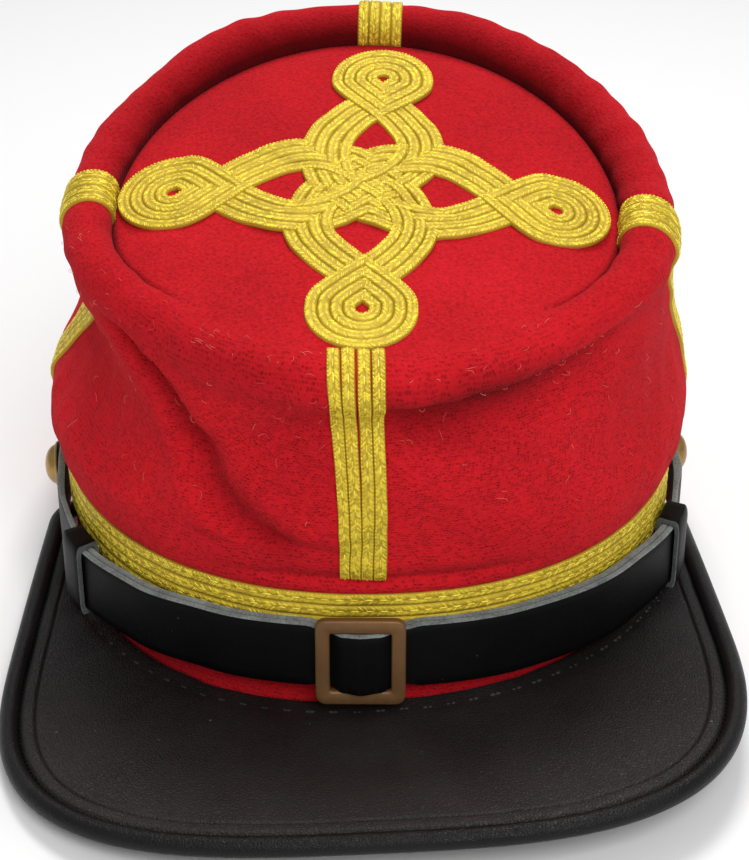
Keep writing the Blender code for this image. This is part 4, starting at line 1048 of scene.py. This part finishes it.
def braid_section(rows, width):
    """Offsets across a ribbon of braid, and how far its face lies above the cloth at each."""
    cords = 2 * rows
    offsets, heights = [], []
    for cord in range(cords):
        for share in CORD_SHARES:
            groove = ROW_GROOVE if (cord % 2 == 0) == (share < 0.5) else CORD_GROOVE
            edge = 0.1 * CORD_GROOVE * (share == 0.0)
            offsets.append((cord + share) / cords)
            heights.append(BRAID_THICKNESS - groove * (1.0 - cord_relief(share)) - edge)
    offsets.append(1.0)
    heights.append(BRAID_THICKNESS - ROW_GROOVE)
    return (np.array(offsets) - 0.5) * width, np.array(heights)


class Braid:
    """One braid: its ground, and the lines that its sorts of thread are laid along."""

    def __init__(self, name):
        self.name = name
        self.ground = Mesher()
        self.lines = {"threads": [], "borders": [], "couching": []}

    def add(self, surface, rows, width, closed):
        """Add a ribbon of rows; surface gives points and up directions along it for offsets across it."""
        offsets, heights = braid_section(rows, width)
        face, up = surface(offsets)
        top, back = face + up * heights[None, :, None], (face - up * BRAID_SINK)[:, ::-4]
        self.ground.add(np.concatenate([top, back], axis=1), "wrap" if closed else "cap")
        order = np.arange(2 * rows)
        leans = np.where(order % 2, 1.0, -1.0)
        cord_width = width / (2 * rows)
        cords = (order + 0.5) * cord_width - 0.5 * width - CORD_DRAW * leans
        middles = (order[:rows] + 0.5) * 2.0 * cord_width - 0.5 * width
        sides = (middles[:, None] + (cord_width - BORDER_INSET) * np.array((-1.0, 1.0))).ravel()
        trim = slice(None) if closed else slice(2, -2)
        for sort, offsets, rise, slants in (
                # rise in thread heights
                ("threads", cords, -0.25, THREAD_SLANT * leans),
                ("couching", middles, 0.05, 0.0 * middles),
                ("borders", sides, -0.1, BORDER_SLANT + 0.0 * sides)):
            face, up = surface(offsets)
            place = face + up * (BRAID_THICKNESS + rise * THREAD_HEIGHT)
            for line, slant in enumerate(slants):
                self.lines[sort].append((place[trim, line], up[trim, line], slant, closed))

    def finish(self, seed, outer_borders=True, couched=True):
        """Build the ground and each sort of thread."""
        dress(self.ground.build(self.name + "_ground", [GOLD_GROUND]), "gold_braid", self.name)
        if outer_borders:
            self.lines["borders"] = [self.lines["borders"][0], self.lines["borders"][-1]]
        for sort, (*sizes, step) in THREAD_SORTS.items():
            if sort != "couching" or couched:
                gold = GOLD_THREAD if sort == "threads" else GOLD_STITCH
                dress(lay_threads(f"{self.name}_{sort}", self.lines[sort], gold, *sizes, seed + step), "gold_braid")


def make_band_braid():
    """Four rows of braid round the upper edge of the band."""
    degrees = ring_degrees(BAND_BRAID_COLUMNS)[:, None]
    middle = BAND_HEIGHT - 0.5 * BRAID_WIDTH

    def surface(offsets):
        heights = middle - offsets[None]
        face = band_point(degrees, CLEARANCE + BAND_RIPPLE_HEIGHT * ripple(degrees, heights * 0.0, 41), heights)
        ahead = band_point(degrees + 0.5, CLEARANCE, heights) - band_point(degrees - 0.5, CLEARANCE, heights)
        down = band_point(degrees, CLEARANCE, heights - 0.001) - band_point(degrees, CLEARANCE, heights + 0.001)
        return face, unit(np.cross(down, ahead))

    braid = Braid("band_braid")
    braid.add(surface, BRAID_ROWS, BRAID_WIDTH, True)
    braid.finish(100)


def climbing_surface(line, offset_at=np.zeros_like, growth=np.ones_like, count=150):
    """Surface of a row of braid that climbs the crown's wall along a line of angles."""
    first, last = line[0][0], line[-1][0]
    stations = np.linspace(first, last, count)
    points, _ = crown_sample(read_line(line, stations)[0], stations)
    length = np.concatenate([[0.0], np.cumsum(np.linalg.norm(np.diff(points, axis=0), axis=-1))])
    stations = np.interp(np.linspace(0.0, length[-1], count), length, stations)
    middle = read_line(line, stations)[0]
    probe = 4.0
    right, left = (crown_sample(middle + aside, stations)[0] for aside in (probe, -probe))
    per_metre = 2.0 * probe / np.linalg.norm(right - left, axis=-1)
    climb = (stations - first) / (last - first)

    def surface(offsets):
        across = offset_at(climb)[:, None] + offsets[None] * growth(climb)[:, None]
        face, up = crown_sample(middle[:, None] + across * per_metre[:, None], stations[:, None])
        return face + up * BRAID_LIFT, up

    return surface


def make_climbing_braids():
    """Braid up the back and the two sides, over the roll and down into the crease."""
    for number, side in enumerate(("back", "left", "right")):
        braid = Braid(side + "_braid")
        braid.add(climbing_surface(BRAID_LINES[side]), BRAID_ROWS, BRAID_WIDTH, False)
        braid.finish(200 + 10 * number)


def widening(climb):
    """Growth of the front braid's rows from its foot to its head."""
    return 1.0 + 0.11 * smoothstep(climb / 0.8)


def make_front_braid():
    """Braid up the front, whose rows stand apart in slits that close towards its foot."""
    braid = Braid("front_braid")
    for side, middle_slit, outer_slit in FRONT_ROWS:
        def offset_at(climb, side=side, middle_slit=middle_slit, outer_slit=outer_slit):
            offset = side * FRONT_ROW_WIDTH * widening(climb) + middle_slit * smoothstep((climb - 0.2) / 0.3)
            return offset + outer_slit * smoothstep((climb - 0.5) / 0.2)

        braid.add(climbing_surface(BRAID_LINES["front"], offset_at, widening), 1, FRONT_ROW_WIDTH, False)
    braid.finish(300, outer_borders=False)


def make_top_knot():
    """One closed ribbon of four rows that loops at four arms, its rows plaited where it crosses itself."""
    path = knot_path()
    ahead = unit(np.roll(path, -1, axis=0)[:, :2] - np.roll(path, 1, axis=0)[:, :2])
    right = np.stack([ahead[:, 1], -ahead[:, 0]], -1)
    braid = Braid("top_knot")
    for row in range(BRAID_ROWS):
        middle = path[:, :2] + right * ((row - 0.5 * (BRAID_ROWS - 1)) * KNOT_ROW)
        inner_height = path[:, 3] * (1.0 if row == 0 else 0.5)
        inner_reach = path[:, 4] if row == 0 else np.full(len(path), 0.0055)
        height = knot_heights(middle[:, 0], middle[:, 1], path[:, 2], inner_height, inner_reach)
        for _ in range(2):
            height = 0.5 * height + 0.25 * (np.roll(height, 1) + np.roll(height, -1))

        def surface(offsets, middle=middle, height=height):
            plan = middle[:, None] + right[:, None] * offsets[None, :, None]
            x, along = knot_warp(plan[..., 0], plan[..., 1])
            step = 0.0005
            across = disc_point(x + step, along, 0.0) - disc_point(x - step, along, 0.0)
            back = disc_point(x, along + step, 0.0) - disc_point(x, along - step, 0.0)
            return disc_point(x, along, height[:, None]), unit(np.cross(across, back))

        braid.add(surface, 1, KNOT_ROW, True)
    braid.finish(400, couched=False)


# ---- leather
PEAK_RELIEF = (
    # distance from the outer edge, height of the leather's face
    (0.0045, -0.0013), (0.0052, -0.0011), (0.00545, -0.00075), (0.0058, -0.0002), (0.0062, 0.00012),
    (0.0068, 0.00024), (0.0076, 0.00026), (0.0084, 0.00022), (0.0088, 0.00012), (0.00905, -0.00026),
    (0.00925, -0.00044), (0.00945, -0.00024), (0.0097, 0.0), (0.0102, 0.00003),
)


def tube(line, radius, across, over, sides):
    """Rings of points round a line."""
    turn = (np.arange(sides) * 2.0 * np.pi / sides)[None, :, None]
    return line[:, None] + radius * (np.cos(turn) * across[:, None] + np.sin(turn) * over[:, None])


def make_peak():
    """Peak leather with the groove, flat strip and incised line inside its rolled edge."""
    share = np.linspace(PEAK_FIRST_SHARE, 1.0 - PEAK_FIRST_SHARE, 420)[:, None]
    relief = np.array(PEAK_RELIEF)
    first = np.stack(peak_inset(share, relief[0, 0]), -1)
    near = turned(first[..., 0], first[..., 1], -BAND_TURN)
    degrees = np.degrees(np.arctan2(near[1] / BAND_HALF_LENGTH, near[0] / BAND_HALF_WIDTH))
    inner = (band_point(degrees, CLEARANCE + 0.0002, 0.0) - BAND_CENTRE)[..., :2]
    squeeze = np.clip(np.linalg.norm(first - inner, axis=-1) / 0.009, 0.08, 1.0)
    insets = relief[0, 0] + (relief[:, 0] - relief[0, 0])[None] * squeeze
    edge = np.stack(peak_inset(share, insets), -1)
    blend = np.linspace(0.0, 1.0, 26)[1:]
    rest = edge[:, -1:] + (inner - edge[:, -1:]) * blend[None, :, None]
    plan = np.concatenate([edge, rest], axis=1)
    height = peak_height(plan[..., 0], plan[..., 1])
    to_band = np.linalg.norm(plan - inner, axis=-1)
    height[:, :len(relief)] += relief[None, :, 1] * smoothstep(squeeze * 1.2)
    # a dimple under the seam's stitches, and a raised brink at the band
    height -= 0.0003 * bell((to_band - SEAM_DISTANCE) / 0.0011)
    height += 0.00025 * bell(to_band / 0.0012)
    angle = np.degrees(np.arctan2(plan[..., 1], plan[..., 0]))
    height += PEAK_RIPPLE_HEIGHT * ripple(angle, to_band, 61, 12, 0.04)
    top = np.concatenate([plan, height[..., None]], axis=-1)
    under = top[:, ::-3].copy()
    under[..., 2] = peak_height(under[..., 0], under[..., 1]) - PEAK_THICKNESS
    shell = Mesher().add(np.concatenate([top, under], axis=1) + BAND_CENTRE, "cap")
    dress(shell.build("peak_leather", [PEAK_LEATHER], sharp=50.0), "black_leather", "peak")
    return top + BAND_CENTRE, to_band


def make_peak_edge():
    """Rolled leather edge round the peak."""
    x, y = peak_inset(np.linspace(BINDING_FIRST_SHARE, 1.0 - BINDING_FIRST_SHARE, 520), BINDING_RADIUS)
    line = vectors(x, y, peak_height(x, y) - 0.5 * PEAK_THICKNESS) + BAND_CENTRE
    ahead = unit(np.gradient(line, axis=0))
    right = unit(np.cross(ahead, UP))
    shell = Mesher().add(tube(line, BINDING_RADIUS, unit(np.cross(right, ahead)), -right, 24)[:, ::-1], "cap")
    dress(shell.build("peak_edge", [EDGE_LEATHER]), "black_leather", "peak_binding")


def make_peak_stitches(top, to_band):
    """Pairs of stitches along the seam, and scalloped stitches in the groove."""
    line = []
    for row, reach in zip(top[:, ::-1], to_band[:, ::-1]):
        if reach[-1] > SEAM_DISTANCE * 1.6:
            line.append([np.interp(SEAM_DISTANCE, reach, row[:, axis]) for axis in range(3)])
    line = np.array(line) + 0.0001 * UP
    lag = int(round(0.0026 / np.linalg.norm(np.diff(line, axis=0), axis=-1).mean()))
    for name, lines, thread, sizes in (
            # sizes: pitch, length, width, height, unevenness, seed
            ("seam_stitches", [(line, UP, 0.0, False), (line[lag:], UP, 0.0, False)], SEAM_THREAD,
             (0.0059, 0.0014, 0.001, 0.0006, 0.3, 500)),
            ("edge_stitches", [(top[:, 1] + 0.0003 * UP, UP, 0.5, False)], EDGE_THREAD,
             (0.0017, 0.0013, 0.0005, 0.0005, 0.2, 510))):
        dress(lay_threads(name, lines, thread, *sizes), "black_leather")


def make_stray_fibres():
    """Fine pale fibres that stand off the nap of the crown's wall and ridge."""
    dice = np.random.default_rng(77)
    mesher = Mesher()
    share = np.linspace(0.0, 1.0, FIBRE_STEPS)
    radius = FIBRE_RADIUS * np.array([0.4] + [1.0] * (FIBRE_STEPS - 2) + [0.4])[:, None, None]
    for _ in range(FIBRE_COUNT):
        degrees, station, slant, bend, length, lift = (dice.uniform(low, high) for low, high in FIBRE_RANGES)
        heading = slant + bend * share
        across, climb = (np.cumsum(wave(heading)) * length / FIBRE_STEPS for wave in (np.cos, np.sin))
        face, up = crown_sample(degrees + np.degrees(across / BAND_HALF_WIDTH), station + climb / 0.01)
        line = face + up * (lift * np.sin(np.pi * (0.1 + 0.8 * share)))[:, None]
        ahead = unit(np.gradient(line, axis=0))
        side = unit(np.cross(ahead, up))
        mesher.add(tube(line, radius, side, np.cross(side, ahead), 4), "cap")
    dress(mesher.build("stray_fibres", [FIBRE]), "red_wool")


def strap_layer(degrees, inner, outer, squeeze):
    """Rings of a strap layer between two depths of the whole strap, with their slots."""
    stand_off, thickness, middle, width, bulge = strap_section(degrees)
    half = 0.5 * width * squeeze
    low = stand_off + inner * thickness + bulge
    high = stand_off + outer * thickness + bulge
    face = np.concatenate([[1.0], np.linspace(0.96, -0.96, 9), [-1.0]])
    columns = [(high - 0.00035 * (abs(share) == 1.0) + 0.0001 * (1.0 - share * share), middle + half * share)
               for share in face]
    side = low + 0.45 * (high - low)
    columns += [(side, middle - half - 0.00008), (low, middle - half + 0.0003), (low, middle),
                (low, middle + half - 0.0003), (side, middle + half + 0.00008)]
    ring = np.stack([band_point(degrees, off, up) for off, up in columns], axis=1)
    return ring, np.array([1] + [0] * 13 + [1, 1])


def make_chin_strap():
    """Two layers of strap leather with pale cut edges, laid round the front of the band."""
    first, last = STRAP_STATIONS[0][0], STRAP_STATIONS[-1][0]
    tip = math.degrees(STRAP_TIP / BAND_HALF_WIDTH)
    mesher = Mesher()
    for start, end, inner, outer in ((first - tip, last + tip, 0.0, 0.48), (206.5, 337.0, 0.53, 1.0)):
        degrees = np.linspace(start, end, 300)
        from_end = np.clip(np.minimum(degrees - start, end - degrees) / tip, 0.0, 1.0)
        squeeze = np.sqrt(np.clip(1.0 - (1.0 - from_end) ** 2, 0.03, 1.0))
        if inner == 0.0:      # one thick layer beyond the keepers
            outer = outer + (1.0 - outer) * smoothstep(np.abs(degrees - 270.0) / 10.0 - 7.0)
        ring, slots = strap_layer(degrees, inner, outer, squeeze)
        mesher.add(ring, "cap", slot=slots[None])
    dress(mesher.build("strap_leather", [STRAP_LEATHER, RAW_EDGE], sharp=50.0), "black_leather", "chin_strap")


KEEPER_SECTION = (
    # share of the width, share of the wall
    (-1.0, 0.12), (-1.0, 0.8), (-0.93, 1.0), (-0.5, 1.05), (0.0, 1.08), (0.5, 1.05), (0.93, 1.0), (1.0, 0.8),
    (1.0, 0.12), (0.9, 0.0), (0.0, 0.0), (-0.9, 0.0),
)


def make_keeper(side):
    """Leather loop round the strap, with pale cut edges."""
    half_angle = math.degrees(0.5 * KEEPER_WIDTH / BAND_HALF_LENGTH)
    loop = rounded_outline(1.0, 1.0, 0.17, 7)
    rows = []
    for share, wall in KEEPER_SECTION:
        degrees = np.full(len(loop), KEEPER_ANGLES[side] + half_angle * share)
        stand_off, thickness, middle, width, _ = strap_section(degrees)
        grow = CLEARANCE + 0.0001 + KEEPER_WALL * wall
        off = stand_off + 0.5 * thickness + (0.5 * thickness + grow) * 2.0 * loop[:, 0]
        rows.append(band_point(degrees, off, middle + (0.5 * width + grow) * 2.0 * loop[:, 1]))
    rubbed = [6, 7, 8] if side == "left" else [0, 1, 11]
    shell = Mesher().add(np.stack(rows), "wrap", slot=np.isin(np.arange(len(rows)), rubbed).astype(int)[:, None])
    piece = shell.build("keeper_loop_" + side, [STRAP_LEATHER, RUBBED_EDGE], sharp=50.0)
    dress(piece, "black_leather", "keeper_" + side)


def rounded_outline(width, height, corner, steps):
    """Outline of a rectangle with round corners, and points along its sides."""
    points = []
    for quarter, (sx, sy) in enumerate(((1, 1), (-1, 1), (-1, -1), (1, -1))):
        x, y = sx * (0.5 * width - corner), sy * (0.5 * height - corner)
        for step in range(steps + 1):
            angle = math.radians(90.0 * (quarter + step / steps))
            points.append((x + corner * math.cos(angle), y + corner * math.sin(angle)))
        last = points[-1]
        for share in (0.25, 0.5, 0.75):
            back = 1.0 - 2.0 * share
            points.append((x * back, last[1]) if quarter % 2 == 0 else (last[0], y * back))
    return np.array(points)


# ---- brass
def flat_ring(width, height, corner, depth, steps=6):
    """Rounded outline at a depth."""
    outline = rounded_outline(width, height, corner, steps)
    return np.column_stack([outline, np.full(len(outline), depth)])


def make_buckle():
    """Square brass frame with softened edges, and the centre bar behind the strap."""
    thick, soft = 0.5 * BUCKLE_THICKNESS, 0.0005
    outside = (BUCKLE_WIDTH, BUCKLE_HEIGHT, BUCKLE_CORNER)
    window = (BUCKLE_WIDTH - 2.0 * BUCKLE_BAR, BUCKLE_HEIGHT - 2.0 * BUCKLE_BAR, 0.0007)
    rounding = ((0.0, soft - thick), (0.0, thick - soft), (0.3 * soft, thick - 0.3 * soft), (soft, thick))
    section = [(outside, inset, depth) for inset, depth in rounding + ((0.5 * BUCKLE_BAR, thick + 0.0001),)]
    section += [(window, -inset, depth) for inset, depth in rounding[::-1] + ((soft, -thick),)]
    section += [(outside, soft, -thick)]
    shells = [[flat_ring(width - 2 * inset, height - 2 * inset, corner - inset, depth)
               for (width, height, corner), inset, depth in section]]
    back = -thick - (BUCKLE_STAND_OFF - (CLEARANCE + BRAID_THICKNESS + CLEARANCE))
    reach, post = 0.5 * window[1] + 0.0005, 0.0011
    for low, high, front in ((-reach, reach, back + CENTRE_BAR_THICKNESS), (reach - post, reach, 0.0),
                             (-reach, post - reach, 0.0)):
        corner, middle = min(0.0003, 0.4 * (high - low)), np.array((0.0, 0.5 * (low + high), 0.0))
        shells.append([flat_ring(CENTRE_BAR_WIDTH, high - low, corner, depth, 3) + middle for depth in (back, front)])
    seat = band_point(BUCKLE_ANGLE, BUCKLE_STAND_OFF + 0.5 * BUCKLE_THICKNESS, strap_section(BUCKLE_ANGLE)[2])
    mesher = Mesher()
    for index, shell in enumerate(shells):
        x, y, z = np.moveaxis(np.stack(shell), -1, 0)
        mesher.add(vectors(x, -z + BAND_LEAN * y, y) + seat, "cap" if index else "wrap")
    dress(mesher.build("buckle_brass", [BUCKLE_BRASS], sharp=50.0), "old_brass", "buckle")


def make_button(side):
    """Plain domed button with a low rim, turned round its own axis."""
    degrees = BUTTON_ANGLES[side]
    stand_off, thickness, middle, _, _ = strap_section(degrees)
    turn = (np.arange(48) * 2.0 * np.pi / 48)[None, :, None]
    seat = band_point(degrees, stand_off + thickness + CLEARANCE, middle)
    out = unit(seat - band_point(degrees, stand_off, middle))
    lift = np.cross(unit(np.cross(out, UP)), out)
    radius, high = np.array(BUTTON_PROFILE).T[..., None, None]
    points = seat + radius * (np.cos(turn) * lift + np.sin(turn) * np.cross(out, lift)) + high * out
    shell = Mesher().add(points, "pole", poles=[seat, seat + BUTTON_TOP * out])
    dress(shell.build("brass_button_" + side, [BUTTON_BRASS], sharp=40.0), "old_brass", "button_" + side)


# ---- finishes
WOOL = make_wool()
FIBRE = make_fibre()
GOLD_THREAD, GOLD_STITCH, GOLD_GROUND = (make_gold(*looks) for looks in (
    # name, bright, dark, roughness, whether its stitches have tones of their own
    ("gilt_thread", (1.0, 0.81, 0.058), (0.5, 0.35, 0.017), 0.37, True),
    ("gilt_couching", (1.0, 0.82, 0.09), (0.8, 0.58, 0.03), 0.38, True),
    ("gilt_ground", (0.62, 0.445, 0.028), (0.34, 0.22, 0.013), 0.55, False)))
PEAK_LEATHER, EDGE_LEATHER, STRAP_LEATHER, SEAM_THREAD, EDGE_THREAD = (make_leather(*looks) for looks in (
    # name, colour, colour of the bloom and wear and of the peak's painted sheen, roughness, gloss, grain scale, grain
    # depth, dust, how far ahead the painted sheen starts
    ("peak_black", (0.0052, 0.0048, 0.0048), (0.0225, 0.0198, 0.0184), 0.45, 0.24, 1150.0, 0.0002, 0.5, 0.07),
    ("edge_black", (0.0045, 0.0044, 0.0048), (0.009, 0.0085, 0.0088), 0.4, 0.17, 1300.0, 0.00012, 0.3),
    ("strap_black", (0.0022, 0.0021, 0.0022), (0.004, 0.0038, 0.0038), 0.44, 0.07, 1700.0, 0.00005, 0.2),
    ("seam_thread", (0.01, 0.01, 0.01), (0.048, 0.047, 0.045), 0.7, 0.2, 2500.0, 0.00008, 0.3),
    ("edge_thread", (0.0022, 0.0022, 0.0024), (0.004, 0.004, 0.0042), 0.85, 0.03, 2500.0, 0.00004, 0.0)))
RAW_EDGE = make_raw_edge("raw_edge", (0.034, 0.04, 0.039), (0.27, 0.305, 0.295))
RUBBED_EDGE = make_raw_edge("rubbed_edge", (0.006, 0.007, 0.007), (0.085, 0.098, 0.094))
BUCKLE_BRASS = make_brass("buckle_patina", (0.2, 0.098, 0.034), (0.135, 0.064, 0.023), 0.5, 0.42)
BUTTON_BRASS = make_brass("button_brass", (0.5, 0.32, 0.1), (0.24, 0.14, 0.05), 0.34, 0.85)
THREAD_TREE = make_thread_tree()


# ---- studio
def make_floor():
    """Plain pale floor."""
    mesh = bpy.data.meshes.new("floor")
    reach = 3.0
    mesh.from_pydata([(-reach, -reach, 0.0), (reach, -reach, 0.0), (reach, reach, 0.0), (-reach, reach, 0.0)],
                     [], [(0, 1, 2, 3)])
    mesh.materials.append(Finish("pale_floor", 0.9).done((0.86, 0.86, 0.86)))
    show("floor", mesh)


def hang(name, data, place, back):
    """Put a lamp or a camera at a place, with its back turned a way."""
    item = show(name, data)
    item.location = place
    item.rotation_euler = Vector(back).to_track_quat("Z", "Y").to_euler()
    return item


def make_lights():
    """Bright even surroundings, and soft lamps above the front and above the back."""
    world = bpy.data.worlds.new("studio")
    world.use_nodes = True
    background = world.node_tree.nodes["Background"].inputs
    background["Color"].default_value = (1.0, 1.0, 1.0, 1.0)
    background["Strength"].default_value = 0.42
    bpy.context.scene.world = world
    aim = np.array((0.0, -0.02, 0.06))
    for name, place, size, power in (
            # size in metres, power in watts
            ("lamp_front", (0.24, -0.78, 0.86), 0.6, 7.5),
            ("lamp_top", (0.04, 0.46, 1.07), 0.4, 7.3)):
        data = bpy.data.lights.new(name, "AREA")
        data.shape, data.size, data.energy = "SQUARE", size, power
        hang(name, data, place, np.array(place) - aim)


def make_camera():
    """Camera at the photograph's angle: nearly in front, 30 degrees down."""
    target, distance = Vector((0.00087, 0.025, 0.02963)), 0.53023
    azimuth, elevation = math.radians(0.45), math.radians(30.0)
    back = Vector((math.sin(azimuth) * math.cos(elevation), -math.cos(azimuth) * math.cos(elevation),
                   math.sin(elevation)))
    focal_pixels, picture_height, sensor = 1780.0, 860.0, 36.0
    data = bpy.data.cameras.new("camera")
    data.sensor_width = sensor
    data.lens = focal_pixels / picture_height * sensor
    data.clip_start = 0.01
    bpy.context.scene.camera = hang("camera", data, target + back * distance, back)
    bpy.context.scene.view_settings.view_transform = "Standard"


make_crown()
make_band()
make_band_braid()
make_climbing_braids()
make_front_braid()
make_top_knot()
PEAK_TOP, PEAK_TO_BAND = make_peak()
make_peak_edge()
make_peak_stitches(PEAK_TOP, PEAK_TO_BAND)
make_stray_fibres()
make_chin_strap()
for cap_side in ("left", "right"):
    make_keeper(cap_side)
    make_button(cap_side)
make_buckle()
make_floor()
make_lights()
make_camera()
